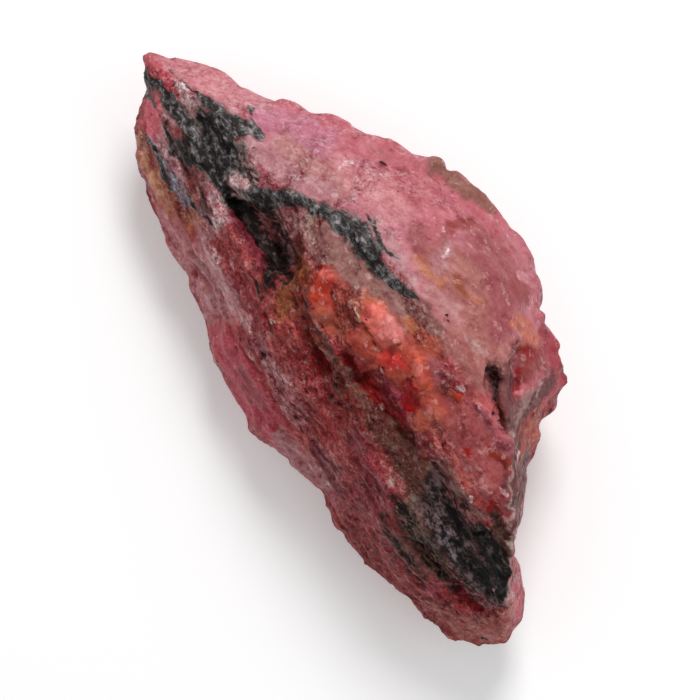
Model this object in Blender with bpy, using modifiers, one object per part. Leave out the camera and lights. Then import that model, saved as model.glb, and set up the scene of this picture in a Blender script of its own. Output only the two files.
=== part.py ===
"""Rough rhodonite: one broken chunk of massive rhodonite, lying on its flattest fracture.

The chunk is long and wedge shaped. A broad cleaved face slopes down to the back, a steep
ledgy flank slopes down to the front, and the two meet in a crest that ends in a sharp nose
over the blunt end. X runs from the sharp tip to the blunt end, Y from the front flank to the
back, and Z up. All lengths below are in millimetres until the mesh is made.
"""

import bpy
import bmesh
import numpy as np
from mathutils import Vector, noise

MM = 0.001

# Rails run lengthwise from TIP to END and are the edges where the chunk's faces meet.
TIP = (-30.5, -4.9, 9.2)
END = (30.8, -4.8, 5.2)
RAILS = {
    "front_edge": [
        (-30.1, -5.6, 8.9), (-29.3, -5.7, 8.6), (-27.5, -6.8, 7.6), (-26.3, -7.8, 7.2),
        (-25.6, -9.0, 6.8), (-24.0, -10.0, 6.4), (-22.0, -10.9, 6.2), (-20.0, -11.3, 6.0),
        (-17.0, -11.5, 5.8), (-14.0, -12.0, 5.6), (-11.6, -11.9, 5.4), (-10.8, -12.4, 5.2),
        (-7.5, -12.5, 5.0), (-6.0, -13.3, 4.8), (-4.5, -13.8, 4.8), (2.0, -13.9, 4.6),
        (4.0, -13.7, 4.4), (6.0, -12.6, 4.2), (8.5, -12.1, 4.0), (11.0, -11.2, 3.8),
        (14.0, -12.4, 3.6), (18.5, -11.9, 3.6), (20.8, -11.1, 3.7), (23.0, -9.8, 3.8),
        (25.5, -9.6, 3.8), (27.6, -9.0, 4.0), (29.3, -7.8, 4.4), (30.6, -6.1, 4.8),
    ],
    "front_shoulder": [
        (-27.0, -6.3, 9.0), (-24.0, -8.6, 8.6), (-18.0, -10.0, 8.8), (-11.5, -10.4, 9.0),
        (-4.0, -11.2, 9.6), (2.0, -11.4, 9.6), (8.0, -10.4, 8.6), (14.0, -10.6, 7.2),
        (20.0, -9.6, 6.8), (24.0, -8.4, 6.6), (28.0, -6.9, 6.2),
    ],
    "flank_ledge": [
        (-27.0, -5.9, 9.8), (-24.0, -7.3, 10.4), (-18.0, -8.2, 11.0), (-10.0, -8.3, 12.2),
        (-3.0, -8.6, 13.2), (3.0, -8.2, 13.8), (9.0, -8.9, 12.0), (15.0, -9.0, 10.4),
        (21.0, -8.0, 9.4), (25.0, -6.7, 8.8), (28.2, -5.6, 7.8),
    ],
    "flank_top": [
        (-28.0, -5.6, 10.1), (-24.0, -6.0, 11.8), (-20.0, -6.1, 12.9), (-15.0, -5.7, 14.0),
        (-10.0, -5.3, 14.8), (-6.0, -5.6, 15.2), (-3.0, -4.7, 16.4), (0.0, -4.7, 16.9),
        (4.0, -4.6, 17.1), (8.0, -5.6, 16.4), (12.0, -5.7, 15.8), (16.0, -7.0, 13.8),
        (20.0, -7.2, 12.2), (24.0, -5.6, 11.6), (27.0, -4.2, 11.2), (28.4, -3.7, 10.2),
        (29.4, -4.4, 7.6),
    ],
    "brow": [
        (-27.0, -5.0, 11.0), (-23.0, -4.6, 12.8), (-19.0, -3.6, 14.2), (-15.0, -3.0, 15.2),
        (-11.0, -1.8, 16.8), (-7.0, -1.6, 18.0), (-3.0, -0.8, 19.4), (2.0, -1.2, 20.2),
        (7.0, -0.8, 20.0), (12.0, -0.6, 19.4), (17.0, -1.4, 18.0), (21.0, -2.4, 16.4),
        (25.0, -3.0, 14.4), (28.0, -3.3, 12.4), (29.2, -4.1, 8.6),
    ],
    "crest": [
        (-29.0, -4.4, 10.2), (-26.0, -3.4, 11.9), (-22.0, -1.9, 13.4), (-19.0, -0.9, 14.6),
        (-15.5, -1.4, 15.6), (-12.5, 0.0, 16.8), (-9.0, 2.3, 18.2), (-5.0, 3.5, 19.6),
        (0.0, 4.2, 20.5), (5.0, 5.2, 20.9), (9.0, 5.6, 20.6), (12.0, 4.9, 20.0),
        (15.0, 4.4, 19.4), (18.0, 2.8, 18.4), (21.0, 1.2, 17.2), (24.0, -0.7, 15.6),
        (27.9, -3.0, 12.8), (29.2, -3.9, 9.0),
    ],
    "back_slope": [
        (-28.0, -3.4, 9.9), (-24.0, -1.0, 11.3), (-19.0, 1.8, 12.9), (-14.0, 4.4, 14.6),
        (-9.0, 7.6, 15.8), (-4.0, 9.8, 16.8), (1.0, 10.8, 17.4), (6.0, 10.4, 17.2),
        (9.2, 9.6, 16.6), (12.0, 7.6, 16.0), (15.0, 5.5, 16.2), (18.5, 3.4, 15.2),
        (22.0, 1.0, 13.4), (25.0, -1.0, 10.6), (28.0, -2.4, 8.6), (29.3, -3.4, 7.4),
    ],
    "back_edge": [
        (-30.1, -4.5, 9.2), (-29.4, -4.1, 9.0), (-28.2, -2.8, 8.8), (-26.4, -0.7, 8.6),
        (-24.0, 0.5, 8.8), (-21.5, 1.6, 9.4), (-18.3, 4.7, 9.8), (-16.0, 6.9, 10.4),
        (-12.3, 9.0, 11.2), (-9.6, 10.5, 11.6), (-8.8, 11.8, 11.2), (-7.5, 12.5, 11.4),
        (-5.0, 13.9, 11.6), (-2.8, 14.1, 11.8), (-0.5, 14.3, 12.0), (2.2, 14.8, 12.0),
        (3.8, 14.1, 12.4), (5.0, 14.2, 12.0), (7.3, 12.7, 12.4), (9.2, 12.6, 11.0),
        (12.2, 12.5, 9.8), (13.4, 11.8, 9.2), (14.7, 10.2, 9.0), (15.3, 8.5, 9.4),
        (17.1, 6.7, 9.0), (18.0, 5.1, 9.2), (21.6, 2.4, 9.2), (23.2, -0.1, 8.8),
        (25.0, 0.1, 6.8), (27.0, -0.5, 6.0), (29.5, -2.2, 5.6), (30.4, -3.8, 5.4),
    ],
    "back_wall": [
        (-28.0, -3.2, 7.8), (-24.5, -1.2, 7.6), (-21.5, 1.6, 6.2), (-15.0, 6.4, 7.2),
        (-10.5, 8.6, 5.8), (-8.0, 11.4, 6.8), (-2.0, 13.2, 7.6), (4.0, 13.4, 6.0),
        (9.0, 11.2, 6.4), (13.0, 10.6, 4.4), (15.5, 6.4, 6.0), (19.0, 4.2, 4.6),
        (22.0, 0.8, 5.8), (27.0, -1.8, 3.6), (29.5, -3.8, 4.2),
    ],
    "back_foot": [
        (-28.0, -4.0, 7.2), (-25.0, -3.2, 6.2), (-21.6, -0.6, 2.6), (-18.0, 1.6, 2.2),
        (-15.4, 3.6, -0.4), (-10.0, 6.4, -0.9), (-6.0, 9.8, -0.6), (0.0, 11.2, -0.9),
        (5.0, 10.6, -0.5), (10.0, 7.6, -1.0), (14.0, 6.6, -0.4), (17.4, 3.2, -0.8),
        (20.6, 0.2, -0.6), (23.2, -1.0, 1.8), (27.0, -3.2, 2.3), (29.5, -4.4, 3.8),
    ],
    "front_foot": [
        (-28.0, -5.4, 6.8), (-25.2, -6.6, 4.6), (-22.4, -7.2, 3.9), (-19.4, -8.2, 0.9),
        (-15.0, -9.2, 0.5), (-12.6, -8.8, -0.8), (-6.0, -10.8, -0.6), (1.0, -11.6, -0.8),
        (6.6, -10.2, -0.4), (12.0, -9.0, -0.9), (18.0, -9.4, -0.4), (22.0, -8.2, -0.6),
        (24.4, -7.8, 1.2), (27.4, -6.8, 1.9), (29.4, -5.8, 3.8),
    ],
}
STATION_STEP = 1.2
LEAST_STEP = 0.3
RAIL_STRIPS = 3  # strips of faces between two neighbouring rails

# Lumps and hollows of the upper side: how much each rises, then its path in plan, where every
# point also says how far the lump or hollow reaches from there.
RELIEF = {
    "crevice_under_the_brow": (
        -2.4, [(-15.6, -5.2, 0.8), (-13.0, -4.9, 1.4), (-10.0, -4.1, 1.9), (-7.5, -4.3, 1.4)],
    ),
    "hollow_above_the_crevice": (-0.9, [(-12.6, -2.7, 1.4), (-9.6, -2.1, 2.0), (-7.8, -2.7, 1.2)]),
    "lip_of_the_crevice": (0.6, [(-15.5, -6.6, 0.7), (-11.5, -6.1, 1.1), (-8.0, -6.8, 0.8)]),
    "scar_by_the_tip": (-0.7, [(-24.0, -4.0, 1.2), (-20.5, -3.9, 2.0), (-17.6, -3.0, 1.3)]),
    "inclusion_by_the_scar": (0.6, [(-16.3, -3.7, 1.0), (-15.4, -4.0, 0.9)]),
    "large_crystal_lump": (1.0, [(-1.0, 0.2, 1.8), (1.2, 0.7, 2.5), (2.8, 1.0, 1.7)]),
    "middle_crystal_lump": (0.7, [(4.7, 1.2, 1.6), (6.8, 0.9, 1.7)]),
    "corner_crystal_lump": (0.5, [(8.8, 0.5, 1.4), (9.8, 0.6, 1.4)]),
    "low_crystal_lump": (0.9, [(0.8, -2.0, 1.3), (2.3, -2.1, 1.6)]),
    "orange_knob": (0.9, [(-5.0, -1.8, 1.1), (-3.9, -2.8, 1.6), (-2.2, -3.3, 1.0)]),
    "notch_between_the_lumps": (-0.6, [(3.5, 0.2, 0.6), (3.9, -1.8, 0.9)]),
    "deep_red_hollow": (-0.6, [(6.3, -0.8, 0.9), (8.2, -1.4, 1.0)]),
    "upper_rib": (0.7, [(-5.8, -3.8, 0.7), (-2.5, -4.3, 1.0), (2.0, -4.6, 1.1), (8.0, -5.0, 0.6)]),
    "lower_rib": (0.6, [(4.5, -5.2, 0.7), (9.0, -6.0, 1.0), (14.0, -6.5, 1.1), (18.0, -7.4, 0.7)]),
    "trough_above_the_ribs": (
        -0.9, [(1.6, -3.6, 0.5), (4.6, -3.1, 1.1), (7.6, -3.2, 1.2), (11.4, -3.1, 0.6)],
    ),
    "trough_below_the_ribs": (
        -0.9, [(-2.4, -5.5, 0.6), (1.0, -5.8, 1.2), (3.2, -6.2, 1.1), (6.6, -7.0, 0.7)],
    ),
    "edge_of_the_nose": (
        0.7, [(11.6, 4.4, 0.6), (15.4, 4.3, 0.9), (18.2, 2.7, 0.9), (22.0, 0.4, 0.9), (27.6, -2.9, 0.7)],
    ),
    "brow_over_the_crevice": (0.5, [(-15.0, -2.6, 0.8), (-12.0, 0.2, 1.2), (-8.6, 1.0, 1.0)]),
    "cheek_of_the_nose": (0.6, [(11.4, 2.4, 1.8), (15.0, 2.0, 2.6), (18.6, 0.8, 1.8)]),
    "undercut_of_the_nose": (
        -0.9, [(13.5, -2.4, 0.8), (19.5, -2.8, 1.7), (24.0, -3.2, 1.6), (27.2, -3.4, 0.6)],
    ),
    "step_below_the_nose": (
        -0.9, [(17.4, -7.4, 0.6), (22.0, -6.4, 1.0), (25.0, -5.5, 1.0), (27.8, -4.3, 0.6)],
    ),
    "pit_by_the_crest": (-1.6, [(9.3, 6.7, 0.8), (10.4, 6.3, 1.3), (11.3, 5.7, 0.9)]),
    "crack_behind_the_nose": (-1.2, [(11.3, 5.6, 0.8), (12.8, 5.1, 0.9), (14.8, 4.8, 0.5)]),
    "crack_by_the_lobe": (-0.8, [(9.0, 9.7, 0.6), (10.6, 8.2, 0.9), (13.0, 7.1, 0.6)]),
    "notch_under_the_band": (-0.6, [(-12.4, -10.8, 0.9), (-8.0, -11.2, 1.3), (-6.0, -11.9, 0.8)]),
    "groove_by_the_back_rim": (-0.5, [(-8.6, 10.8, 0.7), (-4.0, 12.3, 1.2), (1.0, 13.1, 0.7)]),
}
EDGE_WANDER = 0.75  # how far a lump's border strays from its path's even width
EDGE_WAVES = 0.45  # waves per millimetre of that straying
RELIEF_FADE = (0.2, 2.0)  # relief at a wall that faces sideways, and its gain as the wall turns up

# The rock splits along parallel planes. They crop out as ledges on the faces that cross them,
# and the broad face at the back lies along them.
SPLIT_NORMAL = Vector((0.06, 0.56, 0.83)).normalized()
LEDGE_SPACING = 2.0
LEDGE_RISE = 0.95
LEDGE_RISER = 0.35  # share of the spacing that the steep part of a ledge takes
LEDGE_WANDER = 1.5
DRIFT_WAVES = 0.12  # waves per millimetre of the layers' slow drift
RIPPLE_WAVES = Vector((0.12, 0.6, 0.6))  # and of their ripple, which runs on along X
RIPPLE_SHARE = 0.5
PATCH_WAVES = 0.2  # waves per millimetre of where the ledges are strong or weak
PATCH_PLACE = Vector((31, 7, 5))
PATCH_STRENGTH = 0.8

GRAIN_SIZE = 2.4
GRAIN_RISE = 0.3
GRAIN_STRETCH = 0.45  # grains are longer along X by the inverse of this
CRYSTAL_GRAINS = 2.6  # how much prouder the grains are around the crystal lumps
CRYSTALS = [(-4.5, -2.2, 3.2), (0.5, -0.4, 4.2), (5.0, 0.0, 4.2), (9.5, 0.4, 3.0)]

CHIP_SIZE = 6.0
CHIP_RISE = 0.7
CHIP_TILT = 0.2  # slope of a chip's flat against the face it is knocked from
CHIP_BORDER = 0.2  # share of the chip's size over which its flat runs out
CHIP_DRAW = 0.37  # scale at which a chip's centre draws its height
CHIPS_ON_CLEAVAGE = 0.25  # share of a chip's depth that is left on faces along the split
CLEAVAGE_FALL = 6  # how sharply that share sets in as a face turns into the split

OUTSET = 0.03  # makes up for what the even meshing takes off the edges
COARSE_VOXEL = 0.42
FINE_VOXEL = 0.3
TRIANGLES = 9500
ROSE = (0.42, 0.13, 0.15, 1.0)
ROUGHNESS = 0.5
CREASE = 0.6
SEED = 9  # of the noise vectors, so that every run breaks the same stone


def clear_scene():
    for item in list(bpy.data.objects):
        bpy.data.objects.remove(item)


def stations():
    """X positions of the cross-sections: an even spacing and every rail's own knots."""
    knots = {x for rail in RAILS.values() for x, _, _ in rail}
    even = np.arange(TIP[0], END[0], STATION_STEP)
    kept = [TIP[0]]
    for x in sorted(knots | set(even)):
        if min(x - kept[-1], END[0] - x) >= LEAST_STEP:
            kept.append(x)
    return [*kept, END[0]]


def cross_section(x):
    """Corners of the section at x, from the front edge over the top and back underneath."""
    corners = []
    for knots in RAILS.values():
        along, across, height = np.array([TIP, *knots, END]).T
        corners.append((np.interp(x, along, across), np.interp(x, along, height)))
    ring = []
    for here, following in zip(corners, corners[1:] + corners[:1]):
        for share in np.arange(RAIL_STRIPS) / RAIL_STRIPS:
            y, z = np.array(here) * (1 - share) + np.array(following) * share
            ring.append((x, y, z))
    return ring


def lofted_block():
    """The plain chunk: a closed skin through every section, with the two ends brought to a point."""
    places = stations()
    loft = bmesh.new()
    rings = [[loft.verts.new(p) for p in cross_section(x)] for x in places[1:-1]]
    for ring, onward in zip(rings, rings[1:]):
        for i, corner in enumerate(ring):
            following = (i + 1) % len(ring)
            loft.faces.new((corner, onward[i], onward[following], ring[following]))
    for ring, point in ((rings[0], TIP), (rings[-1], END)):
        apex = loft.verts.new(point)
        for i, corner in enumerate(ring):
            loft.faces.new((apex, corner, ring[(i + 1) % len(ring)]))
    bmesh.ops.recalc_face_normals(loft, faces=loft.faces)
    mesh = bpy.data.meshes.new("rhodonite")
    loft.to_mesh(mesh)
    loft.free()
    stone = bpy.data.objects.new("rhodonite", mesh)
    return stone


def applied(stone, kind, **settings):
    """The stone's mesh with one modifier applied to it."""
    modifier = stone.modifiers.new(kind.lower(), kind)
    for name, value in settings.items():
        setattr(modifier, name, value)
    bpy.context.view_layer.update()
    graph = bpy.context.evaluated_depsgraph_get()
    changed = bpy.data.meshes.new_from_object(stone.evaluated_get(graph))
    stone.modifiers.clear()
    stone.data = changed


def share_of_reach(points, path):
    """How near each point is to a path, in plan: 0 on it, 1 at the path's reach and beyond."""
    nearest = np.ones(len(points))
    for start, end in zip(path, path[1:]):
        origin, run = np.array(start[:2]), np.subtract(end[:2], start[:2])
        along = np.clip((points[:, :2] - origin) @ run / (run @ run), 0.0, 1.0)
        gap = np.linalg.norm(points[:, :2] - origin - along[:, None] * run, axis=1)
        nearest = np.minimum(nearest, gap / (start[2] + along * (end[2] - start[2])))
    return nearest


def wandered(points):
    """The points moved about a little, so that what is measured from them has ragged borders."""
    places = [Vector(point) * EDGE_WAVES for point in points]
    strays = [noise.noise_vector(place) + noise.noise_vector(place * 2) / 2 for place in places]
    return points + EDGE_WANDER * np.array(strays)


def named_relief(points, normals):
    """How far the named lumps and hollows move each point along its normal."""
    moved = np.zeros(len(points))
    places = wandered(points)
    sideways, gain = RELIEF_FADE
    for rise, path in RELIEF.values():
        moved += rise * (1 - share_of_reach(places, path) ** 2) ** 2
    return moved * np.clip(sideways + gain * normals[:, 2], 0.0, 1.0)


def ledge(point, normal):
    """The step outwards, along the splitting planes, of the layer that the point lies in."""
    drift = noise.noise(point * DRIFT_WAVES) + RIPPLE_SHARE * noise.noise(point * RIPPLE_WAVES)
    layer = (point.dot(SPLIT_NORMAL) + LEDGE_WANDER * drift) / LEDGE_SPACING % 1.0
    riser = min(1.0, max(0.0, (layer - 0.5) / LEDGE_RISER + 0.5))
    strength = PATCH_STRENGTH * max(0.0, 1 + noise.noise(point * PATCH_WAVES + PATCH_PLACE))
    outward = normal - SPLIT_NORMAL * normal.dot(SPLIT_NORMAL)
    return outward * LEDGE_RISE * strength * (riser - layer)


def grain(point):
    """Interlocking crystal grains, each a low dome, longer along X."""
    distances, _ = noise.voronoi(Vector((point.x * GRAIN_STRETCH, point.y, point.z)) / GRAIN_SIZE)
    return GRAIN_RISE * (0.5 - min(distances[0], 1.0))


def chip(point, normal):
    """Chips knocked from the chunk, each with a flat of its own height and slope."""
    distances, centres = noise.voronoi(point / CHIP_SIZE)
    centre = centres[0] * CHIP_SIZE
    slope = CHIP_TILT * noise.noise_vector(centre)
    level = CHIP_RISE * noise.noise(centre * CHIP_DRAW) + slope.dot(point - centre)
    border = min(1.0, (distances[1] - distances[0]) / CHIP_BORDER)
    along_split = abs(normal.dot(SPLIT_NORMAL)) ** CLEAVAGE_FALL
    return level * border * (1 - (1 - CHIPS_ON_CLEAVAGE) * along_split)


def broken_surface(stone):
    """Moves the even mesh by the relief, ledges, grains and chips."""
    mesh = stone.data
    points = np.array([v.co for v in mesh.vertices])
    normals = np.array([v.normal for v in mesh.vertices])
    raised = OUTSET + named_relief(points, normals)
    crystals = 1 + (CRYSTAL_GRAINS - 1) * (1 - share_of_reach(points, CRYSTALS) ** 2)
    steps = np.zeros_like(points)
    for i, vertex in enumerate(mesh.vertices):
        place, normal = vertex.co.copy(), vertex.normal.copy()
        raised[i] += crystals[i] * grain(place) + chip(place, normal)
        steps[i] = ledge(place, normal)
    mesh.vertices.foreach_set("co", (points + raised[:, None] * normals + steps).ravel())
    mesh.update()


def drop_loose_crumbs(stone):
    """Keeps the largest connected body of the mesh and deletes any crumb beside or inside it."""
    body = bmesh.new()
    body.from_mesh(stone.data)
    left = set(body.verts)
    islands = []
    while left:
        island, front = set(), [left.pop()]
        while front:
            vertex = front.pop()
            island.add(vertex)
            beyond = {edge.other_vert(vertex) for edge in vertex.link_edges} & left
            left -= beyond
            front.extend(beyond)
        islands.append(island)
    largest = max(islands, key=len)
    crumbs = [vertex for island in islands if island is not largest for vertex in island]
    bmesh.ops.delete(body, geom=crumbs, context="VERTS")
    body.to_mesh(stone.data)
    body.free()


def cut_flat_base(stone):
    """Cuts the underside on the level plane that the stone rests on, and closes the cut."""
    cut = bmesh.new()
    cut.from_mesh(stone.data)
    whole = cut.verts[:] + cut.edges[:] + cut.faces[:]
    found = bmesh.ops.bisect_plane(
        cut, geom=whole, plane_co=(0, 0, 0), plane_no=(0, 0, 1), clear_inner=True
    )
    rim = [item for item in found["geom_cut"] if isinstance(item, bmesh.types.BMEdge)]
    bmesh.ops.contextual_create(cut, geom=rim)
    bmesh.ops.triangulate(cut, faces=cut.faces)
    bmesh.ops.recalc_face_normals(cut, faces=cut.faces)
    cut.to_mesh(stone.data)
    cut.free()


def centre_over_base(stone):
    """Puts the origin under the middle of the stone's box, and turns millimetres into metres."""
    points = np.array([v.co for v in stone.data.vertices])
    middle = (points.min(axis=0) + points.max(axis=0)) / 2
    middle[2] = 0.0
    stone.data.vertices.foreach_set("co", ((points - middle) * MM).ravel())
    stone.data.update()


def rose_material():
    material = bpy.data.materials.new("rhodonite")
    material.use_nodes = True
    shader = material.node_tree.nodes["Principled BSDF"]
    shader.inputs["Base Color"].default_value = ROSE
    shader.inputs["Roughness"].default_value = ROUGHNESS
    return material


def main():
    clear_scene()
    noise.seed_set(SEED)
    collection = bpy.data.collections.new("rough_rhodonite")
    bpy.context.scene.collection.children.link(collection)
    stone = lofted_block()
    collection.objects.link(stone)
    applied(stone, "REMESH", mode="VOXEL", voxel_size=COARSE_VOXEL)
    broken_surface(stone)
    applied(stone, "REMESH", mode="VOXEL", voxel_size=FINE_VOXEL)
    drop_loose_crumbs(stone)
    ratio = TRIANGLES / (2 * len(stone.data.polygons))
    applied(stone, "DECIMATE", ratio=ratio)
    cut_flat_base(stone)
    centre_over_base(stone)
    stone.data.materials.clear()
    stone.data.materials.append(rose_material())
    stone.data.shade_smooth()
    stone.data.set_sharp_from_angle(angle=CREASE)


main()
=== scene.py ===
"""Looks of the rough rhodonite: one broken stone, lying on its flattest fracture.

The stone is one mesh. It starts as a copy of the solid, is remeshed finely, gets the ledges,
crystal grains and cracks that the solid is too coarse for, and is then stained: soft patches of
colour and sharper mineral veins are laid on it as brush strokes, which the material breaks up
into grains and fibres. A few strokes paint shadow into the crevice, the pits and a crack, and
paint highlights on glints and on a crystal; the material paints shade at the feet of the flakes
and a highlight on their edges. Strokes are drawn in plan, in millimetres, seen from straight above.
"""

import logging
import math
from dataclasses import dataclass
from enum import Enum

import bpy
import numpy as np
from mathutils import Matrix, Vector, noise


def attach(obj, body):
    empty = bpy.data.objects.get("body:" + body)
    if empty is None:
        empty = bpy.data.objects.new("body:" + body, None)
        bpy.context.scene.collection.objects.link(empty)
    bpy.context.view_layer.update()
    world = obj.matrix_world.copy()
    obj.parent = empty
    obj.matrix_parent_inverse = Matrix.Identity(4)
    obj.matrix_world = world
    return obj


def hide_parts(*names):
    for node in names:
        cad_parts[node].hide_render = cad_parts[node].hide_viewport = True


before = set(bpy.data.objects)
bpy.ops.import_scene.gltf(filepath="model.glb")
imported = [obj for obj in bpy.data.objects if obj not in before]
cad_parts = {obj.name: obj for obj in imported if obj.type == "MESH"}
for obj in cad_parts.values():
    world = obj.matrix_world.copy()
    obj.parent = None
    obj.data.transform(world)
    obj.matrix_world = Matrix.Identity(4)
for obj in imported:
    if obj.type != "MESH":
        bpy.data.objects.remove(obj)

log = logging.getLogger("rough_rhodonite")

MM = 0.001
NODE = "rhodonite"
BODY = "root"
CROSSING = "crossing"  # attribute: 1 where the surface crosses the rock's layers

Path = tuple[tuple[float, float, float], ...]  # x, y and reach of each point, in millimetres
Colour = tuple[float, float, float, float]  # linear red, green, blue and opacity
Stops = tuple[tuple[float, tuple[float, float, float]], ...]  # places along a ramp and their colours
Socket = bpy.types.NodeSocket

# The strokes' zero lies here in the stone's frame.
PLAN_ZERO = (-0.163, -0.194)
# The rock splits along planes across this direction, and its fibres run along X.
SPLIT_NORMAL = Vector((0.06, 0.56, 0.83)).normalized()


class Hue(Enum):
    """Colours of the ground mass, as sRGB out of 255."""

    MILK_PINK = (185, 110, 120)
    PALE_PINK = (200, 130, 135)
    SALMON = (185, 100, 110)
    MAUVE = (180, 110, 130)
    TAN_PINK = (180, 120, 120)
    GREY_ROSE = (180, 125, 130)
    PINK_FIBRE = (200, 140, 145)
    PALE_FIBRE = (180, 150, 145)
    ROSE = (180, 95, 105)
    BRIGHT_ROSE = (215, 100, 115)
    RED_ROSE = (190, 80, 90)
    DEEP_ROSE = (180, 75, 75)
    OLD_ROSE = (165, 80, 80)
    PINK_RED = (185, 70, 85)
    WINE = (155, 55, 65)
    MAROON = (145, 60, 60)
    DUSTY_ROSE = (155, 80, 85)
    DUSK_MAUVE = (110, 60, 60)
    DUSTY_TAN = (165, 100, 95)
    BROWN_ROSE = (150, 100, 95)
    OLIVE_TAN = (140, 90, 80)
    DRAB_ROSE = (120, 70, 65)
    ROSE_TAN = (170, 95, 90)
    OLIVE_ASH = (120, 100, 85)
    GREY_MAUVE = (130, 105, 105)
    MAUVE_ASH = (120, 70, 60)
    BLUE_GREY = (160, 145, 155)
    UMBER = (90, 50, 40)
    BURNT_BROWN = (125, 35, 25)
    RED_BROWN = (140, 45, 35)
    CRIMSON = (120, 30, 45)
    BRIGHT_RED = (170, 15, 20)
    DEEP_RED = (155, 10, 15)
    BLACK_CHERRY = (140, 15, 15)
    RED_TAN = (170, 75, 60)
    OCHRE = (145, 70, 40)
    OCHRE_TAN = (180, 110, 85)
    AMBER = (190, 100, 75)
    HONEY = (205, 130, 90)
    CREAM = (215, 160, 140)
    CORAL = (220, 105, 95)
    CORAL_PINK = (225, 140, 135)
    WARM_CORAL = (190, 80, 60)
    CORAL_RED = (200, 55, 50)
    ORANGE_RED = (175, 50, 30)

    @property
    def linear(self) -> np.ndarray:
        """The colour as linear red, green and blue."""
        share = np.array(self.value) / 255
        return np.where(share <= 0.04045, share / 12.92, ((share + 0.055) / 1.055) ** 2.4)


class Mineral(Enum):
    """Minerals with a border or a grain of their own, each an attribute that the material reads. The black
    one also paints shadow in the crevice, the pits and a crack, the streaky one paints shade in a pit, and
    the milky one paints glints as highlights.
    """

    DARK = "dark_vein"
    # Black mineral, and painted shadow in the crevice, the pits and a crack.
    SOOT = "black_core"
    STREAKY = "streaky_dark"
    CRYSTAL = "crystal"
    SATIN = "satin"
    # Milky inclusions, and glints painted as highlights.
    MILK = "milky_glint"


@dataclass(frozen=True)
class Patch:
    """A patch of one colour on the ground mass, with a soft edge."""

    hue: Hue
    path: Path
    cover: float = 1.0
    edge: float = 0.45


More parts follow.
